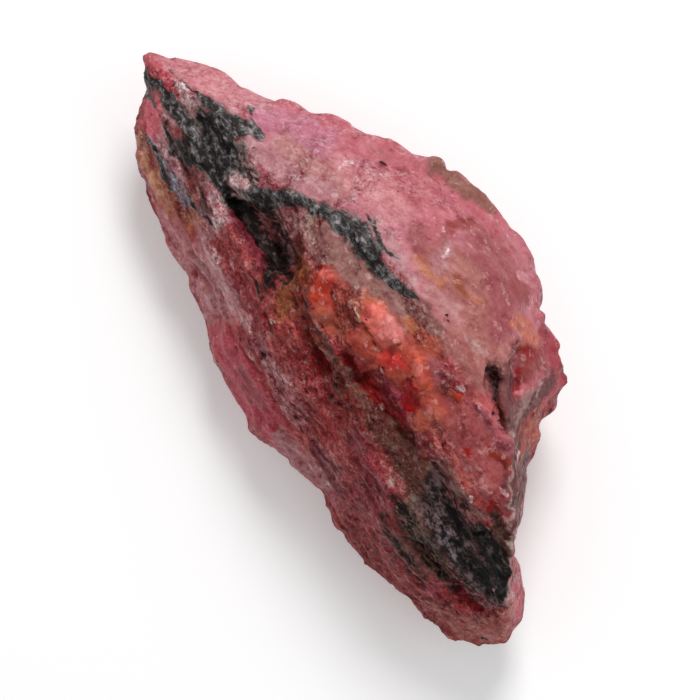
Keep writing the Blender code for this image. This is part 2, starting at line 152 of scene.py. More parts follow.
GROUND: dict[str, Patch] = {
    "flank": Patch(Hue.DEEP_ROSE, ((-26, -8, 3.5), (-10, -9.5, 5), (10, -9, 5.5), (27, -7, 4.5))),
    "far flank": Patch(Hue.WINE, ((14, -8.5, 3.4), (20, -9, 3.5), (26, -8, 3)), 0.7),
    "broad face": Patch(
        Hue.MILK_PINK, ((-28, -3.4, 1.8), (-19, 1.5, 4.6), (-9, 7.5, 6.2), (3, 10, 6), (9, 8, 3.4)),
    ),
    "band": Patch(Hue.BROWN_ROSE, ((-10, 0.2, 1.6), (-5, 0.6, 2.2), (0, 2.4, 1.8), (4, 3.6, 1.6))),
    "far face": Patch(Hue.DUSTY_TAN, ((-1.4, 7.8, 1.8), (2.6, 8, 2.6), (6.8, 7.4, 2.4))),
    "nose": Patch(Hue.OLD_ROSE, ((10.5, 2, 2.4), (15, 1.6, 2.9), (19, 0.6, 1.9))),
    # the broad face
    "tip of the face": Patch(
        Hue.PALE_PINK,
        ((-29.9, -4.8, 0.7), (-27.6, -3.2, 0.9), (-25, -1.4, 1.2), (-22, 0.4, 1.1), (-20.2, 1.8, 0.7)),
        0.4,
    ),
    "tip": Patch(Hue.RED_ROSE, ((-28.4, -4.9, 0.5), (-27.4, -4.7, 0.7), (-26.4, -4.7, 0.45))),
    "salmon edge": Patch(Hue.SALMON, ((-20.4, 3.2, 1), (-17, 5.2, 1.4), (-13, 7.8, 1.4), (-10, 9.6, 1))),
    "mauve": Patch(Hue.MAUVE, ((-20.5, 0.9, 1), (-18, 2.4, 1.6), (-15.4, 4.2, 1.6)), 0.7),
    "tan": Patch(Hue.TAN_PINK, ((-16.5, 1.2, 1.1), (-13.4, 2.4, 1.5), (-10.6, 4, 1))),
    "grey by the vein": Patch(
        Hue.GREY_ROSE, ((-18.2, -1.2, 0.8), (-16.2, -0.4, 0.9), (-13.4, 0.6, 0.7), (-11, 2.9, 0.7)),
    ),
    "grey round the scar": Patch(
        Hue.GREY_MAUVE, ((-23.4, -3.4, 1.4), (-20.6, -3.6, 2.6), (-17.6, -4.6, 1.9), (-15.2, -5.2, 1)), 0.6,
    ),
    "rose": Patch(Hue.ROSE, ((-11, 7.6, 1.2), (-8.4, 8.8, 1.7), (-5.6, 9.4, 1.7), (-3.6, 8.4, 0.9))),
    "rose band": Patch(Hue.ROSE, ((-7.4, 11, 1.1), (-4.2, 11.6, 1.4), (-1.2, 12.8, 1.2))),
    "pale heart": Patch(Hue.PALE_PINK, ((-10.8, 4.6, 0.8), (-8.6, 6.3, 1.3), (-6.6, 6.9, 1.1)), 0.75),
    "pale streak": Patch(Hue.PALE_PINK, ((-14.2, 4.4, 0.4), (-12.4, 5, 0.5), (-10.6, 6.2, 0.4)), 0.6),
    "rust": Patch(Hue.MAROON, ((-3.3, 10.2, 0.6), (-2.7, 11.6, 0.6))),
    "dusk by the vein": Patch(Hue.DUSTY_ROSE, ((-4.4, 7.2, 0.7), (-2.6, 6.8, 0.7))),
    "olive rim": Patch(
        Hue.OLIVE_TAN, ((-9.2, 11.6, 0.6), (-7.2, 12.4, 0.8), (-4.6, 13.4, 0.8), (-2.4, 14, 0.5)),
    ),
    "dusty rim": Patch(
        Hue.DUSTY_ROSE, ((-1, 11.4, 1.3), (1.6, 11.8, 1.8), (4.4, 11, 1.8), (6.4, 9.2, 1.3)),
    ),
    "dusty tan": Patch(Hue.DUSTY_TAN, ((0.6, 9.2, 1.1), (3.2, 8.5, 1.3), (5, 7.2, 0.9))),
    "brown of the rim": Patch(Hue.MAROON, ((3.6, 12.4, 0.5), (5.4, 12.2, 0.6)), 0.7),
    "ochre by the vein": Patch(Hue.OCHRE_TAN, ((-2.4, 6.2, 0.5), (-0.8, 6.2, 0.6), (0.4, 6.8, 0.4)), 0.8),
    "ochre dot": Patch(Hue.OCHRE, ((1, 7.9, 0.35), (2.3, 7.9, 0.3)), 0.9),
    "ochre arc": Patch(Hue.OCHRE_TAN, ((3.3, 8.5, 0.3), (4.1, 8.9, 0.3)), 0.8),
    "grey cloud": Patch(Hue.GREY_ROSE, ((-1.9, 8.9, 0.6), (-1.2, 7.8, 0.7), (-0.5, 6.9, 0.4)), 0.8),
    "pale under the dust": Patch(Hue.TAN_PINK, ((0.8, 5.6, 0.7), (2.6, 6.2, 0.8), (4.4, 6.4, 0.6))),
    "smoke": Patch(Hue.DUSTY_TAN, ((5, 5, 1), (7.6, 5.6, 1.3), (9.4, 5, 0.9))),
    "pale fibre": Patch(Hue.PALE_FIBRE, ((5, 5.9, 0.12), (6.6, 6.4, 0.2), (8, 6.8, 0.15)), 0.6),
    "streak of the rim": Patch(Hue.PALE_PINK, ((3.4, 13.1, 0.2), (4.4, 13.3, 0.2)), 0.7),
    "tan by the pit": Patch(Hue.DUSTY_TAN, ((9.2, 7.5, 0.6), (10.2, 8.1, 0.5))),
    "grey over the vein": Patch(
        Hue.GREY_ROSE, ((-7.4, 4.5, 0.4), (-5, 4.8, 0.6), (-2.6, 4.4, 0.6), (-0.6, 4.8, 0.5)),
    ),
    "tail of the vein": Patch(
        Hue.DRAB_ROSE, ((-0.2, 4.1, 0.3), (1.4, 4.5, 0.3), (3.9, 4.7, 0.2)), 0.8, 0.35,
    ),
    "speck of the dust": Patch(Hue.MAROON, ((5.4, 9.3, 0.15), (5.6, 10.1, 0.2)), 0.8, 0.3),
    # the lobe and the strip behind the nose
    "salmon of the lobe": Patch(Hue.AMBER, ((7, 10.9, 0.8), (8.8, 11.2, 0.8)), 0.8),
    "maroon of the lobe": Patch(Hue.MAROON, ((9, 9.9, 0.9), (10.4, 10.1, 1.1), (10.9, 9, 0.8))),
    "dark edge of the lobe": Patch(
        Hue.BLACK_CHERRY, ((8.7, 9.4, 0.35), (9.1, 10.2, 0.4), (10.2, 10.3, 0.3)), 0.8, 0.35,
    ),
    "lobe": Patch(Hue.WINE, ((8.6, 12.6, 0.7), (11, 12, 0.9), (12.8, 11.4, 0.9), (14, 10.4, 0.7)), 0.8),
    "tan of the lobe": Patch(Hue.DUSK_MAUVE, ((12, 10.9, 0.4), (13, 9.6, 0.7), (13.4, 7.8, 0.8))),
    "strip": Patch(
        Hue.DUSK_MAUVE, ((13.3, 6.8, 0.6), (15.4, 5.2, 1.2), (18, 4, 1.3), (21, 2.4, 1.2), (23.8, 0.3, 0.5)),
    ),
    "strand of the lobe": Patch(
        Hue.PALE_FIBRE, ((12, 9.6, 0.1), (13, 7.6, 0.22), (14, 6, 0.2), (15.2, 5, 0.1)), 0.45,
    ),
    "loop of the strip": Patch(Hue.PALE_FIBRE, ((13.9, 5.8, 0.25), (14.7, 5.6, 0.25)), 0.6),
    "orange rim": Patch(
        Hue.RED_TAN, ((13.8, 8.5, 0.5), (15, 7.9, 0.9), (16.4, 6.9, 0.9), (17.4, 5.8, 0.6)),
    ),
    "crimson crack": Patch(
        Hue.DEEP_RED, ((10.2, 8.6, 0.12), (11.3, 7.9, 0.25), (12.4, 7.2, 0.15)), 0.9, 0.3,
    ),
    "red of the crack": Patch(
        Hue.BLACK_CHERRY, ((11.2, 5.7, 0.4), (12.4, 5.3, 0.45), (14.2, 4.8, 0.2)), edge=0.3,
    ),
    "rim of the pit": Patch(
        Hue.DUSK_MAUVE, ((9, 6.8, 0.5), (10.4, 7, 0.8), (12.2, 6.4, 0.7), (13.6, 5.6, 0.5)), 0.9,
    ),
    "brown of the pit": Patch(
        Hue.UMBER, ((9.9, 6.2, 0.4), (10.8, 5.8, 0.5), (12.2, 5.2, 0.4), (14.2, 4.8, 0.25)), 0.85,
    ),
    "pink strip": Patch(Hue.SALMON, ((24.6, -0.5, 0.5), (26.4, -1, 0.7), (28.4, -2.3, 0.6))),
    # the nose
    "coral of the nose": Patch(
        Hue.CORAL, ((11.4, -0.3, 0.5), (13.4, -0.4, 0.6), (16, 0, 0.7), (18.2, -0.3, 0.5)), 0.4,
    ),
    "edge of the nose": Patch(Hue.SALMON, ((11, 3.8, 0.4), (13.6, 4, 0.5), (15.6, 4.2, 0.4)), 0.6),
    "rust of the nose": Patch(
        Hue.RED_BROWN, ((14.8, 3.1, 0.25), (16.2, 3.5, 0.45), (17.2, 3.2, 0.25)), edge=0.35,
    ),
    "deep red of the nose": Patch(Hue.BLACK_CHERRY, ((19.1, 0.3, 0.4), (20.1, 0.6, 0.6)), edge=0.35),
    "dot of the nose": Patch(Hue.DEEP_RED, ((14.1, 0.9, 0.2), (14.5, 1, 0.15)), 0.9, 0.3),
    "streak of the nose": Patch(Hue.MAROON, ((11.8, 2.9, 0.2), (12.4, 1.9, 0.35), (13, 0.9, 0.25)), 0.6),
    "foot of the nose": Patch(Hue.BROWN_ROSE, ((13.4, -1.3, 0.5), (16, -1.1, 0.4), (19, -1.1, 0.5))),
    "umber of the nose": Patch(
        Hue.UMBER, ((20.2, 0.2, 0.6), (21.8, -0.3, 1), (23.4, -1.1, 0.9), (25.2, -2, 0.5)),
    ),
    # the blunt end
    "end": Patch(Hue.ROSE_TAN, ((29.6, -3.8, 0.8), (29, -5.2, 1.4), (27.4, -6.8, 1.5), (24.8, -8.8, 1.2))),
    "red of the end": Patch(
        Hue.BRIGHT_RED, ((23.8, -7, 0.35), (25, -6.5, 0.45), (26.4, -6, 0.3)), edge=0.3,
    ),
    "red over the end": Patch(Hue.DEEP_RED, ((24.4, -5.4, 0.25), (26.4, -4.8, 0.35)), 0.9),
    "red under the end": Patch(Hue.WINE, ((22.4, -8.4, 0.4), (23.6, -7.7, 0.5), (24.6, -7.3, 0.35))),
    # the hollow and the knob
    "wall of the hollow": Patch(
        Hue.TAN_PINK, ((-13.4, -3.4, 0.8), (-12, -2.5, 1.2), (-10.4, -2.2, 1.6), (-8.4, -2.8, 1.3)),
    ),
    "rust of the hollow": Patch(
        Hue.BURNT_BROWN, ((-9.2, -1.5, 0.35), (-8, -2, 0.5), (-7.4, -2.9, 0.4)), 0.9,
    ),
    "rose under the crevice": Patch(Hue.CRIMSON, ((-14.4, -5.8, 0.5), (-12, -5.7, 0.9), (-9.4, -5.9, 0.8))),
    "tan over the knob": Patch(Hue.RED_TAN, ((-5.4, -0.9, 0.6), (-3.4, -0.9, 0.8), (-2, -0.7, 0.5)), 0.8),
    "between the lumps": Patch(Hue.RED_TAN, ((-2.6, -1.8, 0.7), (-1.2, -2.4, 0.9), (0.4, -2.7, 0.8))),
    "knob": Patch(Hue.ORANGE_RED, ((-5.2, -1.9, 0.8), (-4.2, -2.6, 1.1), (-3.2, -3.1, 0.8)), edge=0.35),
    "head of the knob": Patch(Hue.CORAL, ((-5.9, -1.1, 0.4), (-5.2, -1.5, 0.45)), 0.9),
    "foot of the knob": Patch(Hue.AMBER, ((-3.2, -3.3, 0.5), (-1.8, -3.4, 0.7), (-0.8, -3.3, 0.4)), 0.8),
    "ochre of the wall": Patch(Hue.OCHRE, ((-6.6, -3, 0.9), (-6, -3.9, 1.1), (-6, -5.2, 0.9)), edge=0.3),
    "brown under the hollow": Patch(
        Hue.BURNT_BROWN, ((-9, -5, 0.4), (-7.9, -5.4, 0.7), (-7.2, -6.4, 0.5)), 0.8,
    ),
    "brown of the wall": Patch(Hue.BURNT_BROWN, ((-5.2, -4.1, 0.5), (-4.4, -4.8, 0.7), (-3.2, -4.7, 0.5))),
    "olive of the wall": Patch(Hue.OCHRE, ((-5.6, -5.4, 0.9), (-4.8, -6, 1), (-4, -6.5, 0.7)), edge=0.35),
    "amber of the wall": Patch(Hue.AMBER, ((-5, -6.4, 0.3), (-4.2, -6.6, 0.35)), 0.8),
    "tan of the wall": Patch(Hue.RED_TAN, ((-4, -5.3, 0.5), (-3.4, -6.4, 0.6)), 0.9),
    "red-brown foot": Patch(Hue.RED_BROWN, ((-3, -4.9, 0.6), (-1.4, -5.1, 0.9), (0.2, -5.1, 0.6))),
    "rose of the foot": Patch(Hue.DEEP_ROSE, ((-3.4, -6.6, 0.5), (-1.8, -6.6, 0.7)), 0.8),
    # the crystal lumps
    "bed of the crystals": Patch(
        Hue.RED_TAN, ((-1.4, -0.6, 1.2), (2, -0.4, 2.4), (6.2, 0.2, 2.4), (9.4, 0.2, 1.6)),
    ),
    "brown under the crystals": Patch(
        Hue.BURNT_BROWN, ((-2.2, -1.2, 0.4), (-1, -1.6, 0.6), (0, -1.5, 0.4)), 0.9,
    ),
    "low crystals": Patch(Hue.RED_TAN, ((0.8, -1.9, 0.8), (2, -2.1, 1), (3.2, -1.8, 0.7))),
    "orange crystals": Patch(Hue.AMBER, ((-1.9, 0.6, 0.5), (-1, 0.3, 0.6), (-0.4, 1.2, 0.5))),
    "large crystal": Patch(Hue.CORAL, ((-0.2, 0.4, 0.9), (1.2, 0.6, 1.2), (2.4, 0.6, 1)), edge=0.3),
    # A painted highlight on the large crystal, in pale coral.
    "painted highlight on the crystal": Patch(Hue.CORAL_PINK, ((1, 1.3, 0.5), (1.8, 1.2, 0.7), (2.5, 0.9, 0.45)), 0.9),
    "cream rim": Patch(Hue.CREAM, ((-1.9, -0.5, 0.2), (-1.2, -0.8, 0.25), (0.1, -0.95, 0.15)), 0.9, 0.3),
    "left rim": Patch(Hue.CREAM, ((-2.4, 0.9, 0.2), (-2.3, 0.3, 0.2)), 0.8),
    "honey": Patch(Hue.HONEY, ((2.1, 2.6, 0.5), (2.9, 2.7, 0.5)), 0.9),
    "green fleck": Patch(Hue.OCHRE, ((-1.3, 1.5, 0.25), (-0.7, 1.6, 0.25)), 0.5),
    "tan over the crystals": Patch(Hue.RED_TAN, ((3.4, 2.6, 0.7), (5, 3.3, 0.8), (6, 2.7, 0.6))),
    "red crystals": Patch(Hue.CORAL_RED, ((3.4, -0.9, 0.6), (4.4, -0.1, 0.8), (5.2, 0.3, 0.6))),
    "middle crystal": Patch(Hue.WARM_CORAL, ((4.6, 1.3, 0.9), (6.2, 1.1, 1.1), (7.4, 1, 0.6)), edge=0.35),
    "coral of the middle": Patch(Hue.CORAL, ((5.2, 1.2, 0.4), (6.6, 1, 0.5)), 0.6),
    "brown crystals": Patch(Hue.RED_TAN, ((8.4, -0.4, 0.7), (9.4, -0.6, 1), (9.9, -1.5, 0.6))),
    "corner": Patch(Hue.RED_TAN, ((8.6, 1, 0.6), (10, 0.9, 0.6))),
    "pink of the corner": Patch(Hue.CORAL_PINK, ((9, 0.5, 0.25), (9.6, 0.3, 0.3)), 0.5),
    "dark of the corner": Patch(Hue.MAROON, ((7.9, 1.5, 0.3), (9, 1.6, 0.4), (10.4, 1.6, 0.3)), 0.7),
    "bead": Patch(Hue.ORANGE_RED, ((8.9, 2.6, 0.4), (9.8, 2.9, 0.5)), edge=0.3),
    "dark by the bead": Patch(Hue.UMBER, ((8.2, 2.2, 0.35), (8.8, 2.6, 0.3)), 0.9),
    "deep red crystals": Patch(
        Hue.DEEP_RED, ((6.6, -0.4, 0.6), (7.3, -0.8, 0.9), (8.2, -1.3, 0.7)), edge=0.25,
    ),
    "mauve over the crystals": Patch(
        Hue.DUSTY_ROSE, ((5.8, 2.6, 0.5), (7.2, 2.4, 0.7), (7.8, 3.2, 0.5)), 0.9,
    ),
    # troughs and ribs
    "strands": Patch(Hue.WINE, ((4.6, -1.9, 0.4), (6.8, -1.9, 0.6), (8.8, -2.3, 0.5))),
    "upper trough": Patch(
        Hue.BLACK_CHERRY,
        ((1.4, -3.7, 0.3), (3.4, -3.4, 0.8), (5.6, -3.3, 0.9), (8.2, -3.1, 0.8), (10.4, -2.7, 0.4)),
    ),
    "lower trough": Patch(Hue.BLACK_CHERRY, ((0.2, -5.5, 0.8), (1.2, -5.8, 1.1), (1.8, -6.5, 0.6))),
    "trough by the rib": Patch(
        Hue.BURNT_BROWN,
        ((-4, -4.6, 0.3), (-1, -4.8, 0.4), (2, -5, 0.5), (5, -5.2, 0.55), (8, -5.9, 0.4)),
        0.9,
    ),
    "rib": Patch(
        Hue.MAUVE_ASH,
        ((-3.4, -4.25, 0.15), (0.4, -4.4, 0.25), (3.2, -4.4, 0.3), (5.6, -4.3, 0.5), (8.4, -4.4, 0.9)),
    ),
    "ash": Patch(Hue.MAUVE_ASH, ((8.6, -4.2, 0.9), (11, -3.8, 1.3), (13.6, -3.6, 1.6), (15.6, -4.4, 1.3))),
    "dark ash": Patch(
        Hue.GREY_MAUVE,
        ((15, -2.9, 0.9), (17, -3.8, 1.7), (20, -3.8, 1.9), (23.4, -3.4, 1.8), (26.4, -3.2, 1)),
    ),
    "sheen": Patch(Hue.BLUE_GREY, ((19, -4.5, 0.3), (20.2, -4.5, 0.5), (21.4, -4.6, 0.4)), 0.5),
    "olive fibres": Patch(
        Hue.OLIVE_ASH, ((15.2, -6, 0.6), (18, -6.4, 0.9), (21, -6.1, 0.9), (23.4, -5.8, 0.5)), 0.9,
    ),
    "ochre under the fibres": Patch(
        Hue.BURNT_BROWN, ((15, -7.5, 0.4), (16.6, -7.6, 0.5), (18.6, -7.7, 0.4)), 0.8,
    ),
    "pale line of the ash": Patch(
        Hue.PALE_FIBRE, ((12.3, -5.6, 0.15), (13.8, -6, 0.25), (15.2, -6.8, 0.15)), 0.5,
    ),
    # the flank
    "rose of the tip": Patch(Hue.BRIGHT_ROSE, ((-26.8, -6.6, 0.7), (-25, -7.3, 1.1), (-23, -8, 0.8)), 0.9),
    "fibres of the tip": Patch(
        Hue.PINK_FIBRE,
        ((-24.4, -6.2, 0.5), (-22, -7.5, 0.8), (-19.6, -7.9, 0.8), (-16.6, -6.6, 0.9), (-13.8, -7, 0.9)),
    ),
    "speckled tan": Patch(Hue.PALE_FIBRE, ((-18.9, -2.4, 0.5), (-17, -2.6, 0.5), (-15.2, -2.5, 0.4)), 0.9),
    "rust of the tip": Patch(
        Hue.RED_BROWN, ((-18.9, -6.9, 0.5), (-17.8, -7.2, 0.6), (-16, -7.6, 0.35)), 0.9,
    ),
    "blue streak": Patch(
        Hue.BLUE_GREY, ((-23.4, -8.5, 0.3), (-21, -8.4, 0.4), (-18.2, -8.7, 0.6), (-16.8, -8.8, 0.45)),
    ),
    "ochre edge": Patch(
        Hue.OCHRE_TAN, ((-23.8, -9.6, 0.5), (-21, -10.1, 0.8), (-18.4, -9.9, 0.8), (-15.6, -9.8, 0.8)),
    ),
    "ochre spot": Patch(Hue.AMBER, ((-16.8, -9.8, 0.5), (-15.5, -10, 0.5)), 0.7),
    "tan of the rim": Patch(Hue.CREAM, ((-24.2, -9.3, 0.5), (-22, -10.3, 0.6), (-19, -10.8, 0.5)), 0.4),
    "pale rim": Patch(Hue.PALE_PINK, ((-17.5, -11.1, 0.6), (-15, -11, 0.8), (-12.6, -11.3, 0.8)), 0.9),
    "rose of the flank": Patch(Hue.DEEP_ROSE, ((-12.6, -7, 0.9), (-10.2, -7, 1))),
    "fibres of the flank": Patch(
        Hue.PINK_FIBRE, ((-14.6, -8.6, 0.7), (-12, -9.6, 1.2), (-8.4, -9.9, 1.1), (-5.6, -9.5, 0.7)), 0.85,
    ),
    "maroon of the flank": Patch(Hue.WINE, ((-9.6, -8.2, 0.7), (-7.4, -8.2, 0.9), (-4.4, -8.3, 0.7)), 0.8),
    "dark of the flank": Patch(
        Hue.RED_BROWN, ((-5.4, -7.8, 0.4), (-3.4, -7.9, 0.5), (-0.6, -7.4, 0.5)), 0.6,
    ),
    "grey mauve": Patch(
        Hue.PINK_FIBRE, ((-4.4, -10, 0.5), (-1.6, -9.9, 0.9), (1.4, -9.6, 0.9), (4.2, -9.8, 0.8)), 0.6,
    ),
    "knob of the edge": Patch(Hue.PALE_PINK, ((-10.9, -11.8, 0.6), (-9.8, -11.8, 0.7))),
    "grey edge": Patch(Hue.PINK_FIBRE, ((-8.6, -11.3, 0.7), (-7, -11.7, 0.8)), 0.9),
    "deep pink band": Patch(
        Hue.PINK_RED, ((-5.6, -12.1, 1), (-2, -12.5, 1.5), (1, -12.7, 1.5), (3.8, -12.2, 1.1)),
    ),
    "wine of the band": Patch(Hue.WINE, ((-1.4, -12, 0.5), (0.6, -12.2, 0.8), (2, -12, 0.5)), 0.8),
    "slate edge": Patch(Hue.GREY_ROSE, ((4.8, -12.2, 0.8), (7.4, -11.6, 0.9), (10.2, -11.3, 0.7)), 0.8),
    "dark of the middle": Patch(Hue.BLACK_CHERRY, ((2.8, -7.6, 0.3), (4, -7.3, 0.45)), 0.9),
    "pink of the middle": Patch(Hue.DEEP_ROSE, ((2.8, -6.3, 0.5), (4.4, -6.6, 0.6), (7.2, -7.4, 0.8)), 0.8),
    "red of the middle": Patch(Hue.DEEP_RED, ((4.4, -8.5, 0.6), (6.2, -8.2, 0.7)), 0.75),
    "wine under the ash": Patch(
        Hue.WINE, ((8, -6.4, 0.7), (10.6, -7, 0.9), (13.4, -7.6, 1), (13.8, -8.8, 0.7)),
    ),
    "red of the ledge": Patch(Hue.CRIMSON, ((6.8, -9.9, 0.4), (9.2, -9.8, 0.7), (12, -10.1, 0.6))),
    "tan line of the ledge": Patch(
        Hue.PALE_PINK, ((7.8, -8.9, 0.15), (9.6, -9.3, 0.22), (12.4, -10, 0.15)), 0.5,
    ),
    "tan of the far flank": Patch(Hue.OLIVE_TAN, ((16.6, -8.6, 0.7), (19, -8, 1), (21.6, -7.4, 0.7)), 0.9),
    "maroon of the far rim": Patch(
        Hue.MAROON, ((14, -10.9, 0.8), (18, -10.9, 1), (22, -9.8, 0.9), (25, -9, 0.5)), 0.7,
    ),
    "red of the far flank": Patch(
        Hue.RED_BROWN, ((19.6, -10.3, 0.5), (21.6, -9.9, 0.6), (23.6, -9.2, 0.4)), 0.5,
    ),
    "brown knot": Patch(Hue.BURNT_BROWN, ((11.6, -2, 0.35), (12.6, -2.1, 0.45)), 0.9, 0.35),
    "line over the nose": Patch(
        Hue.PALE_FIBRE,
        ((17.4, 3.5, 0.1), (18.6, 2.7, 0.12), (20.4, 1.7, 0.14), (22.6, 0.3, 0.16), (24.2, -0.6, 0.18),
         (26.6, -2.2, 0.2), (27.8, -2.9, 0.3)),
        0.8, 0.35,
    ),
}

